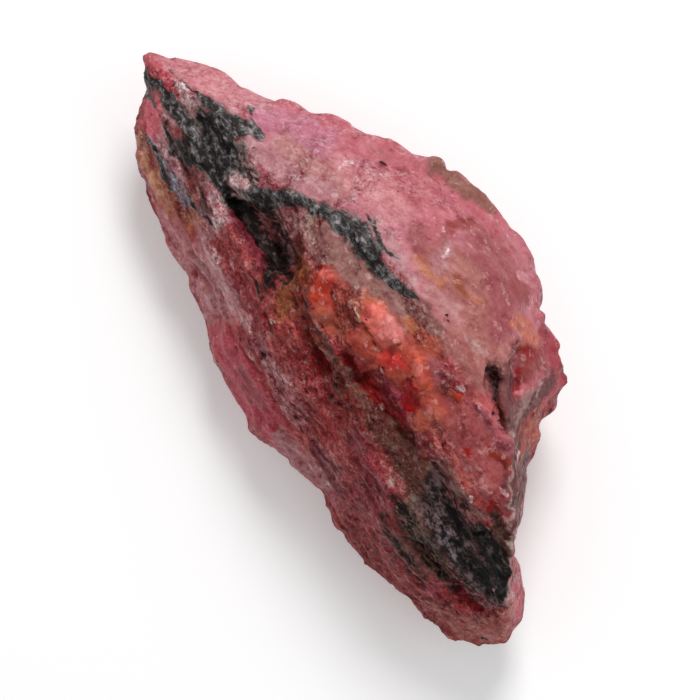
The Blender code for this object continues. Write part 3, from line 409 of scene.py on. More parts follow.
STAINS: dict[Mineral, dict[str, Path]] = {
    Mineral.DARK: {
        "tip edge": (
            (-28.4, -5.7, 0.2), (-27.4, -5.5, 0.35), (-26, -5.2, 0.5), (-24.4, -5.2, 0.6), (-22.8, -5, 0.8),
        ),
        "tip fringe": ((-28.3, -6, 0.2), (-27.3, -6.4, 0.2), (-26.2, -6.3, 0.12)),
        "hairline": ((-27.7, -3.7, 0.08), (-26.3, -3.4, 0.06), (-25, -3, 0.1), (-24.4, -2.7, 0.2)),
        "upper vein": (
            (-24.4, -2.7, 0.25), (-23.2, -2.4, 0.4), (-21.8, -1.8, 0.5), (-20.6, -1.1, 0.45),
            (-19.6, -0.35, 0.55), (-19, -0.2, 0.5), (-18.2, 0, 0.2),
        ),
        "under the upper vein": ((-22.6, -2.3, 0.4), (-20.6, -1.8, 0.5), (-19.4, -1.3, 0.35)),
        "feeler": ((-21.4, 0.2, 0.1), (-20.9, 0.3, 0.2), (-20, 0.3, 0.12)),
        "scar": (
            (-22.6, -3.4, 0.7), (-21.2, -3.3, 1.3), (-20, -3.6, 1.9), (-19, -3.7, 1.6), (-18.2, -3.7, 0.9),
        ),
        "scar's foot": ((-22.4, -4.9, 0.8), (-20.8, -5.3, 1.1), (-19.2, -5.2, 0.9), (-17.8, -4.9, 0.7)),
        "lobe under the scar": ((-21.7, -6.2, 0.4), (-20.6, -6.2, 0.5), (-19.8, -6.1, 0.35)),
        "bridge": ((-18, -4.5, 0.7), (-17, -5.1, 0.6), (-15.9, -5.3, 0.5), (-14.8, -5.4, 0.5)),
        "line over the inclusion": (
            (-18.2, -2.7, 0.25), (-17.2, -3.1, 0.12), (-16.2, -2.9, 0.06), (-15.2, -2.8, 0.12),
        ),
        "main vein": (
            (-15, -4.8, 0.6), (-14.4, -3.8, 0.7), (-13.9, -2.6, 0.75), (-13.2, -1.5, 0.75),
            (-12.2, -0.5, 0.6), (-11.4, 0.4, 0.5), (-10.3, 1.2, 0.45), (-9.2, 1.9, 0.6), (-8, 2.5, 0.9),
            (-6.6, 2.9, 0.95), (-5.2, 3, 1), (-4, 2.8, 0.7), (-2.6, 2.9, 0.45), (-1.2, 3.3, 0.4),
            (0, 3.9, 0.3), (0.8, 4.3, 0.12),
        ),
        "vein's upper streak": (
            (-7.8, 4.3, 0.1), (-6.6, 4.4, 0.22), (-5.4, 4.1, 0.22), (-4.2, 4.2, 0.2), (-3.2, 4.6, 0.1),
        ),
        "vein's lower streak": ((-10.3, 0.8, 0.12), (-9.2, 1.1, 0.18), (-8.2, 1.2, 0.18), (-7.3, 1.5, 0.1)),
        "streaks by the tip": (
            (-24, -6.6, 0.15), (-22.6, -6.8, 0.22), (-21.2, -7.2, 0.28), (-20.4, -7.1, 0.15),
        ),
        "streak over the ochre": (
            (-24.4, -8.7, 0.12), (-22.2, -8.6, 0.25), (-20.6, -8.9, 0.28), (-18.8, -9.2, 0.15),
        ),
        "streak by the blue": ((-17.8, -8.3, 0.1), (-16.8, -8.4, 0.2), (-15.8, -8.6, 0.12)),
        "streak under the rust": ((-17, -7.6, 0.1), (-15.4, -7.8, 0.18), (-14.4, -7.9, 0.1)),
    },
    Mineral.SOOT: {
        "dot by the scar": ((-17.85, -0.8, 0.09), (-17.8, -1, 0.09)),
        "dot on the coral": ((-0.15, -0.35, 0.1), (0, -0.42, 0.1)),
        "dot on the band": ((-5.85, 0.35, 0.09), (-5.7, 0.3, 0.07)),
        "dash by the crest": ((3.2, 5.6, 0.07), (3.8, 5.65, 0.07)),
        "dot on the face": ((-8.3, 7.5, 0.09), (-8.2, 7.55, 0.09)),
        "dash on the face": ((-11.3, 7.65, 0.12), (-10.5, 7.8, 0.07)),
        # The crevice, its wing and its tail are painted shadow where the surface is sunk.
        "crevice": (
            (-15.7, -5.2, 0.35), (-14.7, -5, 0.6), (-13.2, -4.5, 0.7), (-11.4, -4.4, 0.55),
            (-9.6, -4.2, 0.65), (-8.4, -4.3, 0.95), (-7.4, -4.4, 0.75),
        ),
        "crevice's wing": ((-13.8, -4.1, 0.5), (-13.2, -3.2, 0.45), (-12.9, -2.4, 0.2)),
        "crevice's tail": ((-8.9, -4.9, 0.25), (-8, -5.3, 0.22), (-7.3, -6.1, 0.15)),
        "line under the tail": ((-8.6, -7.1, 0.08), (-7.4, -7.1, 0.16), (-6.5, -7.3, 0.1)),
        "core of the scar": (
            (-22.9, -4.6, 0.25), (-22.2, -3.4, 0.25), (-21.2, -2.9, 0.25), (-18.8, -3.2, 0.25),
        ),
        "foot of the scar": ((-21.8, -6.1, 0.2), (-20.4, -6.1, 0.3), (-18.6, -5.4, 0.2)),
        "core of the nose": (
            (20.2, -4, 0.3), (22.2, -3.6, 0.5), (24, -3.1, 0.7), (25.6, -2.9, 0.6), (27.2, -3.2, 0.25),
        ),
        "upper core of the nose": (
            (20.4, -1.5, 0.6), (22.2, -1.6, 0.9), (24, -1.9, 0.6), (25.6, -2.4, 0.4),
        ),
        "edge core of the nose": (
            (22.6, -0.5, 0.12), (24.2, -1.1, 0.25), (25.4, -1.8, 0.35), (26.4, -2.4, 0.25),
        ),
        "left core of the nose": (
            (15.8, -2.3, 0.2), (17, -2.5, 0.35), (18.4, -2.8, 0.4), (20.4, -2.6, 0.4),
        ),
        "line at the foot": ((22, -5.4, 0.1), (23.6, -5, 0.22), (25.4, -4.4, 0.15)),
        "cracks of the olive": (
            (15.6, -5.9, 0.06), (17.6, -6.6, 0.12), (19.4, -6.8, 0.1), (21.6, -6.3, 0.1),
        ),
        # The pits and the crack behind the nose are painted shadow.
        "pit by the crest": ((10.2, 6.7, 0.1), (10.7, 6.3, 0.16), (11.1, 5.7, 0.14), (11.6, 5.2, 0.08)),
        "crack behind the nose": ((12.4, 4.75, 0.05), (13.2, 4.65, 0.07), (14.4, 4.6, 0.04)),
        "pit in the flank": ((-2.3, -9.85, 0.12), (-1.9, -9.85, 0.16)),
        "line under the rib": ((1, -4.85, 0.08), (3, -4.9, 0.1), (5, -5.2, 0.06)),
        "end dots": ((29, -6.2, 0.08), (29.2, -5.9, 0.1)),
        "line under the knob": ((-4.8, -4.3, 0.1), (-3.4, -4.35, 0.12), (-1.2, -4.5, 0.08)),
    },
    Mineral.STREAKY: {
        "middle of the nose": (
            (14.6, -3, 0.6), (17.4, -3.8, 1.5), (20.4, -4.1, 1.7), (23.4, -3.8, 1.3), (26.2, -3.5, 0.5),
        ),
        "top of the nose": (
            (13.4, -1.7, 0.3), (16, -1.9, 0.5), (19, -1.7, 0.6), (21.2, -1.4, 0.6), (23.4, -1.6, 0.6),
            (25.4, -2.3, 0.5),
        ),
        "foot of the nose": ((14.8, -6.2, 0.6), (17.6, -6.4, 1), (20.8, -6.3, 0.9), (23.6, -5.6, 0.7)),
        "far flank": ((15.4, -8, 0.4), (18.6, -8.5, 0.6), (22, -8.1, 0.5)),
        "under the scar": ((-24, -6.3, 0.15), (-21.6, -6.9, 0.3), (-19, -6.9, 0.35), (-15.6, -7.3, 0.25)),
        "by the inclusion": ((-18.6, -2.4, 0.5), (-17, -2.5, 0.45), (-15.2, -2.3, 0.4)),
        "under the crevice": ((-9.4, -5, 0.4), (-8.2, -5.3, 0.7), (-7.2, -6, 0.7), (-6.8, -7, 0.3)),
        "wall of the hollow": ((-12.8, -2.4, 0.5), (-11.2, -2.7, 0.8), (-9.2, -3, 0.8), (-7.8, -3.3, 0.4)),
        "side of the vein": ((-10.2, 1.6, 0.5), (-8.6, 1.8, 0.6), (-5, 2.2, 0.5), (-2.6, 2.5, 0.35)),
        # This stroke is painted shade in the pit by the crest.
        "pit by the crest": ((9.2, 6.4, 0.3), (9.9, 6.4, 0.45), (10.6, 5.9, 0.4), (11.2, 5.5, 0.25)),
    },
    Mineral.CRYSTAL: {
        "large lump": ((-1.9, 0.3, 0.7), (0.2, 0.6, 1.3), (1.8, 0.9, 1.7), (2.8, 0.9, 1.3)),
        "middle lump": ((4.4, 1, 1), (6, 1.2, 1.1), (7.3, 0.8, 0.6)),
        "foot of the middle lump": ((3.6, -0.4, 0.8), (5.2, -0.6, 0.9)),
        "low lump": ((1, -1.9, 1), (2.4, -2.1, 1.1), (3.4, -1.6, 0.7)),
        "knob": ((-5.4, -1.6, 0.6), (-4.2, -2.4, 1), (-2.8, -3.1, 0.8), (-1, -3.3, 0.5)),
        "corner lump": ((8.8, 0.2, 0.9), (9.8, -0.6, 0.8)),
        "orange bead": ((9, 2.7, 0.4), (10, 2.9, 0.5)),
        "deep lump": ((6.6, -0.6, 0.6), (8.2, -1.2, 0.5)),
    },
    Mineral.SATIN: {
        "fibres of the flank": ((-15, -9.6, 0.7), (-11, -10.2, 1.1), (-6.5, -10.4, 0.9)),
        "rim of the face": (
            (-29.6, -4.6, 0.8), (-25.4, -0.9, 1.3), (-20.6, 2.6, 1.8), (-14, 8, 1.8), (-9, 11.6, 1.5),
            (-3, 13.6, 1.3), (3, 13.6, 1.5), (7, 12, 1.2),
        ),
        "tip of the flank": ((-26.8, -6.8, 0.5), (-25, -7.4, 0.8), (-23.4, -7.8, 0.6)),
        "ochre edge": (
            (-23.6, -10, 0.7), (-20, -10.4, 0.8), (-15, -10.8, 1), (-11, -11.4, 1), (-7, -11.6, 1.1),
        ),
        "pink edge": ((-6, -12, 1.3), (-2, -12.4, 1.7), (2, -12.6, 1.7), (4.6, -12, 1.2), (9, -11.6, 0.9)),
        "low end": (
            (26.4, -8.4, 0.7), (28.6, -6.4, 1.2), (29.6, -4.4, 1), (28.4, -2.4, 0.8), (25, -0.6, 0.5),
        ),
        "band": ((-8.6, 0.4, 0.8), (-5.6, 0.8, 1.2), (-2.8, 1.2, 0.8)),
        "nose": ((11.2, 2.4, 1.6), (15, 1.8, 2.2), (18.6, 1.1, 1.4)),
        "deep red crystal": ((6.6, -0.5, 0.5), (8, -1.2, 0.5)),
    },
    Mineral.MILK: {
        # The glints and the spot on the face are painted highlights; the inclusions are pale mineral.
        "specks of the face": ((-3.4, 9.4, 0.16), (-3.35, 9.4, 0.16)),
        "specks of the dust": ((-1.6, 8.6, 0.2), (-1.3, 8.3, 0.25)),
        "spot on the face": ((-12.7, 5.3, 0.25), (-12.6, 4.7, 0.3)),
        "inclusion": ((-16.6, -3.6, 0.6), (-15.4, -3.9, 0.7)),
        "inclusion's tail": ((-16, -4.5, 0.3), (-15.5, -4.6, 0.2)),
        "tip inclusion": ((-26.6, -3.9, 0.25), (-25.2, -3.8, 0.5), (-24, -4.2, 0.25)),
        "glint by the crest": ((8.85, 3.5, 0.2), (9.35, 3.6, 0.2)),
        "glint behind the nose": ((16.3, 4.9, 0.18), (16.8, 5.1, 0.18)),
        "glint on the nose": ((18.3, 2, 0.16), (18.9, 1.9, 0.16)),
        "glint under the nose": ((17.4, -0.7, 0.16), (17.8, -0.75, 0.16)),
        "glint on the flank": ((-4.4, -7.45, 0.18), (-4, -7.5, 0.2)),
        "glint by the hollow": ((-10.2, -7.85, 0.14), (-9.9, -7.95, 0.18)),
        "glint of the trough": ((5.6, -3.65, 0.16), (5.75, -3.7, 0.16)),
        "glint of the tip": ((-28.05, -4.85, 0.15), (-27.9, -4.95, 0.15)),
    },
}

# The front of the stone is torn all over, whichever way it faces.
FRONT: Path = ((-26, -8.5, 3.6), (-11, -9.5, 4.8), (4, -7.4, 5.4), (16, -6, 5.4), (26, -6.5, 3.4))

# Fine relief: how much each rises in millimetres, and its path.
CARVING: dict[str, tuple[float, Path]] = {
    "crest of the nose": (
        0.3, ((11, 4, 0.4), (13.4, 4.3, 0.5), (15.4, 4.5, 0.5), (18.2, 2.6, 0.5), (22.6, 0.3, 0.5),
              (27.4, -2.8, 0.4)),
    ),
    "crack behind the nose": (-0.5, ((11, 5.7, 0.5), (12.4, 4.95, 0.5), (14.4, 4.75, 0.3))),
    "pit by the crest": (-0.4, ((9.6, 6.6, 0.4), (10.4, 6.3, 0.6), (11.2, 5.7, 0.5))),
    "line by the lobe": (-0.5, ((9.6, 8.8, 0.25), (11.2, 7.8, 0.35), (13, 7, 0.25))),
    "crevice": (-0.7, ((-15.4, -5.2, 0.4), (-12.6, -4.7, 0.7), (-9.8, -4.4, 0.8), (-7.6, -4.2, 0.7))),
    "edge of the hollow": (
        0.35, ((-11, -0.6, 0.4), (-9.6, -1.1, 0.4), (-7.6, -1.7, 0.5), (-6.6, -2.6, 0.4)),
    ),
    "hairline by the tip": (-0.15, ((-27.7, -3.7, 0.2), (-25, -3, 0.2), (-23, -2.7, 0.3))),
    "rib": (
        0.25, ((-5.6, -3.7, 0.3), (-3.4, -4.1, 0.4), (0.4, -4.4, 0.45), (4.6, -4.5, 0.45), (7.6, -5.2, 0.3)),
    ),
    "trough above the rib": (-0.35, ((1.8, -3.7, 0.4), (4.4, -3.4, 0.6), (8, -3.2, 0.6), (10, -2.8, 0.3))),
    "trough under the rib": (
        -0.45, ((-0.4, -5.1, 0.4), (1, -5.4, 0.6), (3.2, -5.2, 0.4), (7.4, -5.9, 0.3)),
    ),
    "large crystal": (0.2, ((-0.9, 0.4, 0.9), (0.2, 0.6, 1))),
    "heart crystal": (0.2, ((1.6, 1.2, 0.9), (2.3, 1, 0.9))),
    "middle crystal": (0.2, ((5.6, 1.3, 0.9), (6.8, 0.9, 0.7))),
    "split of the crystals": (-0.25, ((3.2, 1.6, 0.3), (3.2, 0.2, 0.35), (3.9, -0.9, 0.3))),
    "bead": (0.3, ((9.1, 2.7, 0.5), (9.9, 2.9, 0.5))),
    "ledge under the band": (
        -0.4, ((-12, -10.9, 0.4), (-8, -10.9, 0.5), (-4.6, -11.2, 0.4), (0, -10.9, 0.5), (4.4, -10.8, 0.4)),
    ),
    "step under the nose": (-0.45, ((18, -7.2, 0.4), (22, -6.2, 0.5), (25, -5.3, 0.5), (27.6, -4, 0.3))),
    "fold of the nose": (-0.35, ((20.6, 0.7, 0.3), (21.4, -0.9, 0.4), (20.4, -1.9, 0.3))),
    "pit in the flank": (-0.4, ((-2.4, -9.85, 0.25), (-1.8, -9.85, 0.3))),
}

# Where the outline swells out past the solid or draws in: how much, and the path.
RIM: dict[str, tuple[float, Path]] = {
    "back rim of the tip": (0.3, ((-28.3, -2.9, 0.6), (-25.8, -0.6, 0.9), (-24, 0.8, 0.8))),
    "back rim of the salmon edge": (0.22, ((-20.6, 3.2, 0.6), (-18.2, 5.2, 0.8), (-15.8, 7.1, 0.7))),
    "dip of the salmon edge": (-0.2, ((-14.4, 8.3, 0.6), (-13.2, 9.2, 0.7))),
    "step of the rim": (0.5, ((-9, 11.6, 0.5), (-8.3, 12.3, 0.6))),
    "back rim": (
        0.3, ((-7, 12.9, 0.7), (-4.4, 13.9, 0.9), (-0.6, 14.8, 0.7), (4, 14.3, 0.6), (6.4, 13.3, 0.7)),
    ),
    "back rim of the lobe": (0.5, ((7.4, 12.9, 0.6), (8.8, 12.6, 0.8), (10.4, 12.5, 0.6))),
    "back rim past the lobe": (
        -0.4, ((12.8, 12.1, 0.6), (14, 11.4, 0.8), (14.6, 9.6, 0.9), (15.8, 7.9, 0.8)),
    ),
    "back rim of the nose": (-0.2, ((16.8, 6.6, 0.6), (18.6, 5, 0.7))),
    "back rim of the end": (-0.2, ((26, -1.8, 0.6), (28.2, -3.4, 0.7))),
    "front rim by the ochre": (0.25, ((-22.9, -10, 0.6), (-21.4, -10.6, 0.7))),
    "front rim by the tip": (0.15, ((-14.8, -11.8, 0.8), (-12, -12.1, 0.7))),
    "front rim": (0.2, ((-0.6, -14.5, 0.7), (0.6, -14.4, 0.6))),
    "front rim of the ledge": (0.35, ((7.4, -12.4, 0.8), (10, -11.9, 0.7))),
    "front rim of the far flank": (-0.28, ((12.8, -11.9, 0.8), (15, -11.8, 0.8))),
    "front rim of the end": (
        -0.25, ((18, -11.6, 0.7), (22, -10.5, 0.8), (25.6, -9.2, 0.9), (27.8, -7.9, 0.7)),
    ),
}


def share_of_reach(places: np.ndarray, path: Path) -> np.ndarray:
    """Measures how near places are to a path in plan.

    Args:
        places: points in millimetres, one row each.
        path: the points of the path, each with its reach.

    Returns:
        The distance of each place as a share of the path's reach there, at most 2.
    """
    nearest = np.full(len(places), 2.0)
    for start, end in zip(path, path[1:]):
        origin, run = np.array(start[:2]), np.subtract(end[:2], start[:2])
        along = np.clip((places[:, :2] - origin) @ run / (run @ run), 0.0, 1.0)
        gap = np.linalg.norm(places[:, :2] - origin - along[:, None] * run, axis=1)
        nearest = np.minimum(nearest, gap / (start[2] + along * (end[2] - start[2])))
    return nearest


def smooth(low: float, high: float, value: np.ndarray) -> np.ndarray:
    """Eases a value from 0 at low to 1 at high."""
    share = np.clip((value - low) / (high - low), 0.0, 1.0)
    return share * share * (3 - 2 * share)


def share_of_nearest(places: np.ndarray, strokes: dict[str, Path]) -> np.ndarray:
    """The share of reach, as share_of_reach gives it, for the nearest of some strokes."""
    return np.min([share_of_reach(places, path) for path in strokes.values()], axis=0)


def bedded(place: Vector, waves: tuple[float, float, float]) -> Vector:
    """Turns a place into waves that follow the rock's layers.

    Args:
        place: the place in millimetres.
        waves: waves per millimetre along X, along Y and across the layers.

    Returns:
        The place in waves.
    """
    return Vector((place.x * waves[0], place.y * waves[1], place.dot(SPLIT_NORMAL) * waves[2]))


def operate(piece: bpy.types.Object) -> None:
    """Makes a piece the only selected and the active object, so that operators act on it."""
    bpy.ops.object.select_all(action="DESELECT")
    piece.select_set(True)
    bpy.context.view_layer.objects.active = piece


def finish_with(piece: bpy.types.Object, kind: str, **settings: object) -> None:
    """Adds a modifier to a piece and applies it.

    Args:
        piece: the object to change.
        kind: the modifier's type.
        **settings: its settings by name.
    """
    operate(piece)
    modifier = piece.modifiers.new(kind.lower(), kind)
    for name, value in settings.items():
        setattr(modifier, name, value)
    bpy.ops.object.modifier_apply(modifier=modifier.name)


class Wire:
    """A number that flows through a material. Arithmetic on it adds Math nodes."""

    def __init__(self, bench: "Bench", socket: Socket) -> None:
        """Holds the socket that the number comes out of."""
        self.bench = bench
        self.socket = socket

    def __add__(self, other: "Wire | float") -> "Wire":
        """Adds."""
        return self.bench.math("ADD", self, other)

    __radd__ = __add__

    def __sub__(self, other: "Wire | float") -> "Wire":
        """Subtracts."""
        return self.bench.math("SUBTRACT", self, other)

    def __rsub__(self, other: float) -> "Wire":
        """Subtracts this from a number."""
        return self.bench.math("SUBTRACT", other, self)

    def __mul__(self, other: "Wire | float") -> "Wire":
        """Multiplies."""
        return self.bench.math("MULTIPLY", self, other)

    __rmul__ = __mul__

    def __pow__(self, other: float) -> "Wire":
        """Raises to a power."""
        return self.bench.math("POWER", self, other)

    def fraction(self) -> "Wire":
        """What is left of this over its whole number."""
        return self.bench.math("FRACT", self, 0.0)

    def at_least(self, low: float) -> "Wire":
        """This, but never under a level."""
        return self.bench.math("MAXIMUM", self, low)

    def above(self, low: float, high: float) -> "Wire":
        """A mask that eases from 0 where this is at low to 1 where it is at high."""
        node = self.bench.node(
            "ShaderNodeMapRange",
            {"interpolation_type": "SMOOTHSTEP"},
            {"Value": self, "From Min": low, "From Max": high},
        )
        return Wire(self.bench, node.outputs["Result"])


class Bench:
    """Lays out the nodes of one material."""

    def __init__(self, name: str) -> None:
        """Starts a material that holds only its shader and output.

        Args:
            name: the material's name.
        """
        self.material = bpy.data.materials.new(name)
        self.material.use_nodes = True
        self.tree = self.material.node_tree
        self.shader = self.tree.nodes["Principled BSDF"]

    def feed(self, node: bpy.types.Node, inputs: dict[str, object]) -> None:
        """Sets or links inputs of a node.

        Args:
            node: the node.
            inputs: a number, a colour, a vector, a Wire or an output socket for each socket's identifier.
        """
        for name, value in inputs.items():
            socket = next(s for s in node.inputs if s.identifier == name)
            if isinstance(value, Wire):
                value = value.socket
            if isinstance(value, Socket):
                self.tree.links.new(value, socket)
            else:
                socket.default_value = value

    def node(
        self, kind: str, settings: dict[str, object] | None = None, inputs: dict[str, object] | None = None
    ) -> bpy.types.Node:
        """Makes a node.

        Args:
            kind: the node's type.
            settings: its settings, set before its sockets are fed; stops are a ramp's.
            inputs: what feeds its sockets, by identifier.

        Returns:
            The node.
        """
        node = self.tree.nodes.new(kind)
        for name, value in (settings or {}).items():
            if name == "stops":
                ramp = node.color_ramp.elements
                while len(ramp) < len(value):
                    ramp.new(1.0)
                for stop, (position, colour) in zip(ramp, value):
                    stop.position = position
                    stop.color = (*colour, 1.0)
            else:
                setattr(node, name, value)
        self.feed(node, inputs or {})
        return node

    def math(self, operation: str, first: "Wire | float", second: "Wire | float") -> Wire:
        """Adds a Math node and returns its result."""
        node = self.node("ShaderNodeMath", {"operation": operation}, {"Value": first, "Value_001": second})
        return Wire(self, node.outputs["Value"])

    def vector(self, operation: str, inputs: dict[str, object]) -> Socket:
        """Adds a Vector Math node and returns its result."""
        return self.node("ShaderNodeVectorMath", {"operation": operation}, inputs).outputs["Vector"]

    def attribute(self, name: str) -> bpy.types.Node:
        """Reads an attribute of the mesh."""
        return self.node("ShaderNodeAttribute", {"attribute_name": name})

    def number(self, name: str) -> Wire:
        """A number that was laid on the mesh. A mineral's is 1 on its strokes and a half at their borders."""
        return Wire(self, self.attribute(name).outputs["Fac"])

    def place(self, scale: tuple[float, float, float], turn: float = 0.0, swing: float = 0.0) -> Socket:
        """Where a point is, in units that suit a pattern.

        Args:
            scale: pattern units per millimetre along each axis, after the turn.
            turn: angle about X, in radians.
            swing: angle about Z, in radians.

        Returns:
            The socket of the place.
        """
        where = self.node("ShaderNodeTexCoord").outputs["Object"]
        turned = self.node(
            "ShaderNodeMapping", {}, {"Vector": where, "Rotation": (turn, 0.0, swing), "Scale": (1 / MM,) * 3}
        )
        return self.vector("MULTIPLY", {"Vector": turned.outputs["Vector"], "Vector_001": scale})

    def clouds(self, place: Socket, scale: float, detail: float, rough: float, warp: float = 0.0) -> Wire:
        """Noise that swings around 0.

        Args:
            place: the place's socket.
            scale: waves per unit of the place.
            detail: octaves.
            rough: strength of the finer octaves.
            warp: how far the noise distorts itself.

        Returns:
            The noise.
        """
        node = self.node(
            "ShaderNodeTexNoise",
            {},
            {"Vector": place, "Scale": scale, "Detail": detail, "Roughness": rough, "Distortion": warp},
        )
        return Wire(self, node.outputs["Fac"]) - 0.5

    def cells(self, place: Socket, scale: float) -> bpy.types.Node:
        """Grains, as cells that each have a colour of their own."""
        return self.node("ShaderNodeTexVoronoi", {}, {"Vector": place, "Scale": scale})

    def draw(self, cells: bpy.types.Node, channel: str) -> Wire:
        """A number drawn for each cell, from 0 to 1."""
        split = self.node("ShaderNodeSeparateColor", {}, {"Color": cells.outputs["Color"]})
        return Wire(self, split.outputs[channel])

    def blend(self, share: "Wire | float", first: object, second: object, kind: str = "MIX") -> Socket:
        """Mixes two colours.

        Args:
            share: how much of the second.
            first: a colour or its socket.
            second: a colour or its socket.
            kind: how the second acts on the first.

        Returns:
            The socket of the mixed colour.
        """
        node = self.node(
            "ShaderNodeMix",
            {"data_type": "RGBA", "blend_type": kind},
            {"Factor_Float": share, "A_Color": first, "B_Color": second},
        )
        return next(s for s in node.outputs if s.identifier == "Result_Color")

    def ramp(self, value: Wire, stops: Stops) -> Socket:
        """Turns a value into a colour by stops along a ramp."""
        return self.node("ShaderNodeValToRGB", {"stops": stops}, {"Fac": value}).outputs["Color"]


class Rock:
    """Patterns that run through the rock. Noise swings around 0, and masks run from 0 to 1."""

    def __init__(self, bench: Bench, dip: float, face_swing: float) -> None:
        """Lays the patterns out on a bench.

        Args:
            bench: the material's bench.
            dip: the dip of the rock's layers about X, in radians.
            face_swing: how far the broad face's streaks run off X, in radians.
        """
        self.bench = bench
        self.ground = bench.attribute("ground").outputs["Color"]
        self.crossing = bench.number(CROSSING)
        even = bench.place((1.0, 1.0, 1.0))
        fibrous = bench.place((0.7, 1.0, 1.1), dip)
        swirled = bench.place((0.5, 1.2, 1.2), dip)
        streaked = bench.place((0.5, 1.2, 1.2), 0.0, face_swing)
        self.sugar = bench.clouds(even, scale=4.2, detail=3.0, rough=0.7)
        self.mottle = bench.clouds(even, scale=1.4, detail=4.0, rough=0.62)
        self.cloud = bench.clouds(even, scale=0.35, detail=3.0, rough=0.55)
        self.fibre = bench.clouds(fibrous, scale=1.2, detail=6.0, rough=0.68, warp=0.5)
        self.streak = bench.clouds(streaked, scale=0.9, detail=5.0, rough=0.66, warp=0.4)
        self.swirl = bench.clouds(swirled, scale=1.7, detail=5.0, rough=0.7, warp=0.9)
        self.grains = bench.cells(bench.place((0.8, 1.0, 1.2), dip), scale=2.4)
        self.gems = bench.cells(even, scale=0.85)
        self.crystal = (bench.number(Mineral.CRYSTAL.value) + 0.5 * self.mottle).above(0.4, 0.6)
        self.satin = bench.number(Mineral.SATIN.value).above(0.3, 0.65)
        # Thin flakes crop out one over another: each is dark at its foot and pale at its edge, which is
        # painted shade at the foot and a painted highlight on the edge, as light from above would fall.
        bedding = bench.node("ShaderNodeSeparateXYZ", {}, {"Vector": bench.place((1.0, 1.0, 1.0), dip)})
        drifting = bench.place((0.45, 0.9, 0.9), dip)
        drift = bench.clouds(drifting, scale=1.0, detail=4.0, rough=0.62, warp=0.6)
        self.flake = (Wire(bench, bedding.outputs["Z"]) + 6.0 * drift).fraction()
        bare = (1 - self.crystal) * (1 - 0.85 * self.satin)
        self.torn = self.crossing * bare * (0.2 + 0.8 * self.mottle.above(-0.08, 0.08))
        # foot: where shade is painted; edge: where a highlight is painted.
        self.foot = (1 - self.flake.above(0.06, 0.26)) * self.torn
        self.edge = self.flake.above(0.74, 0.96) * self.torn


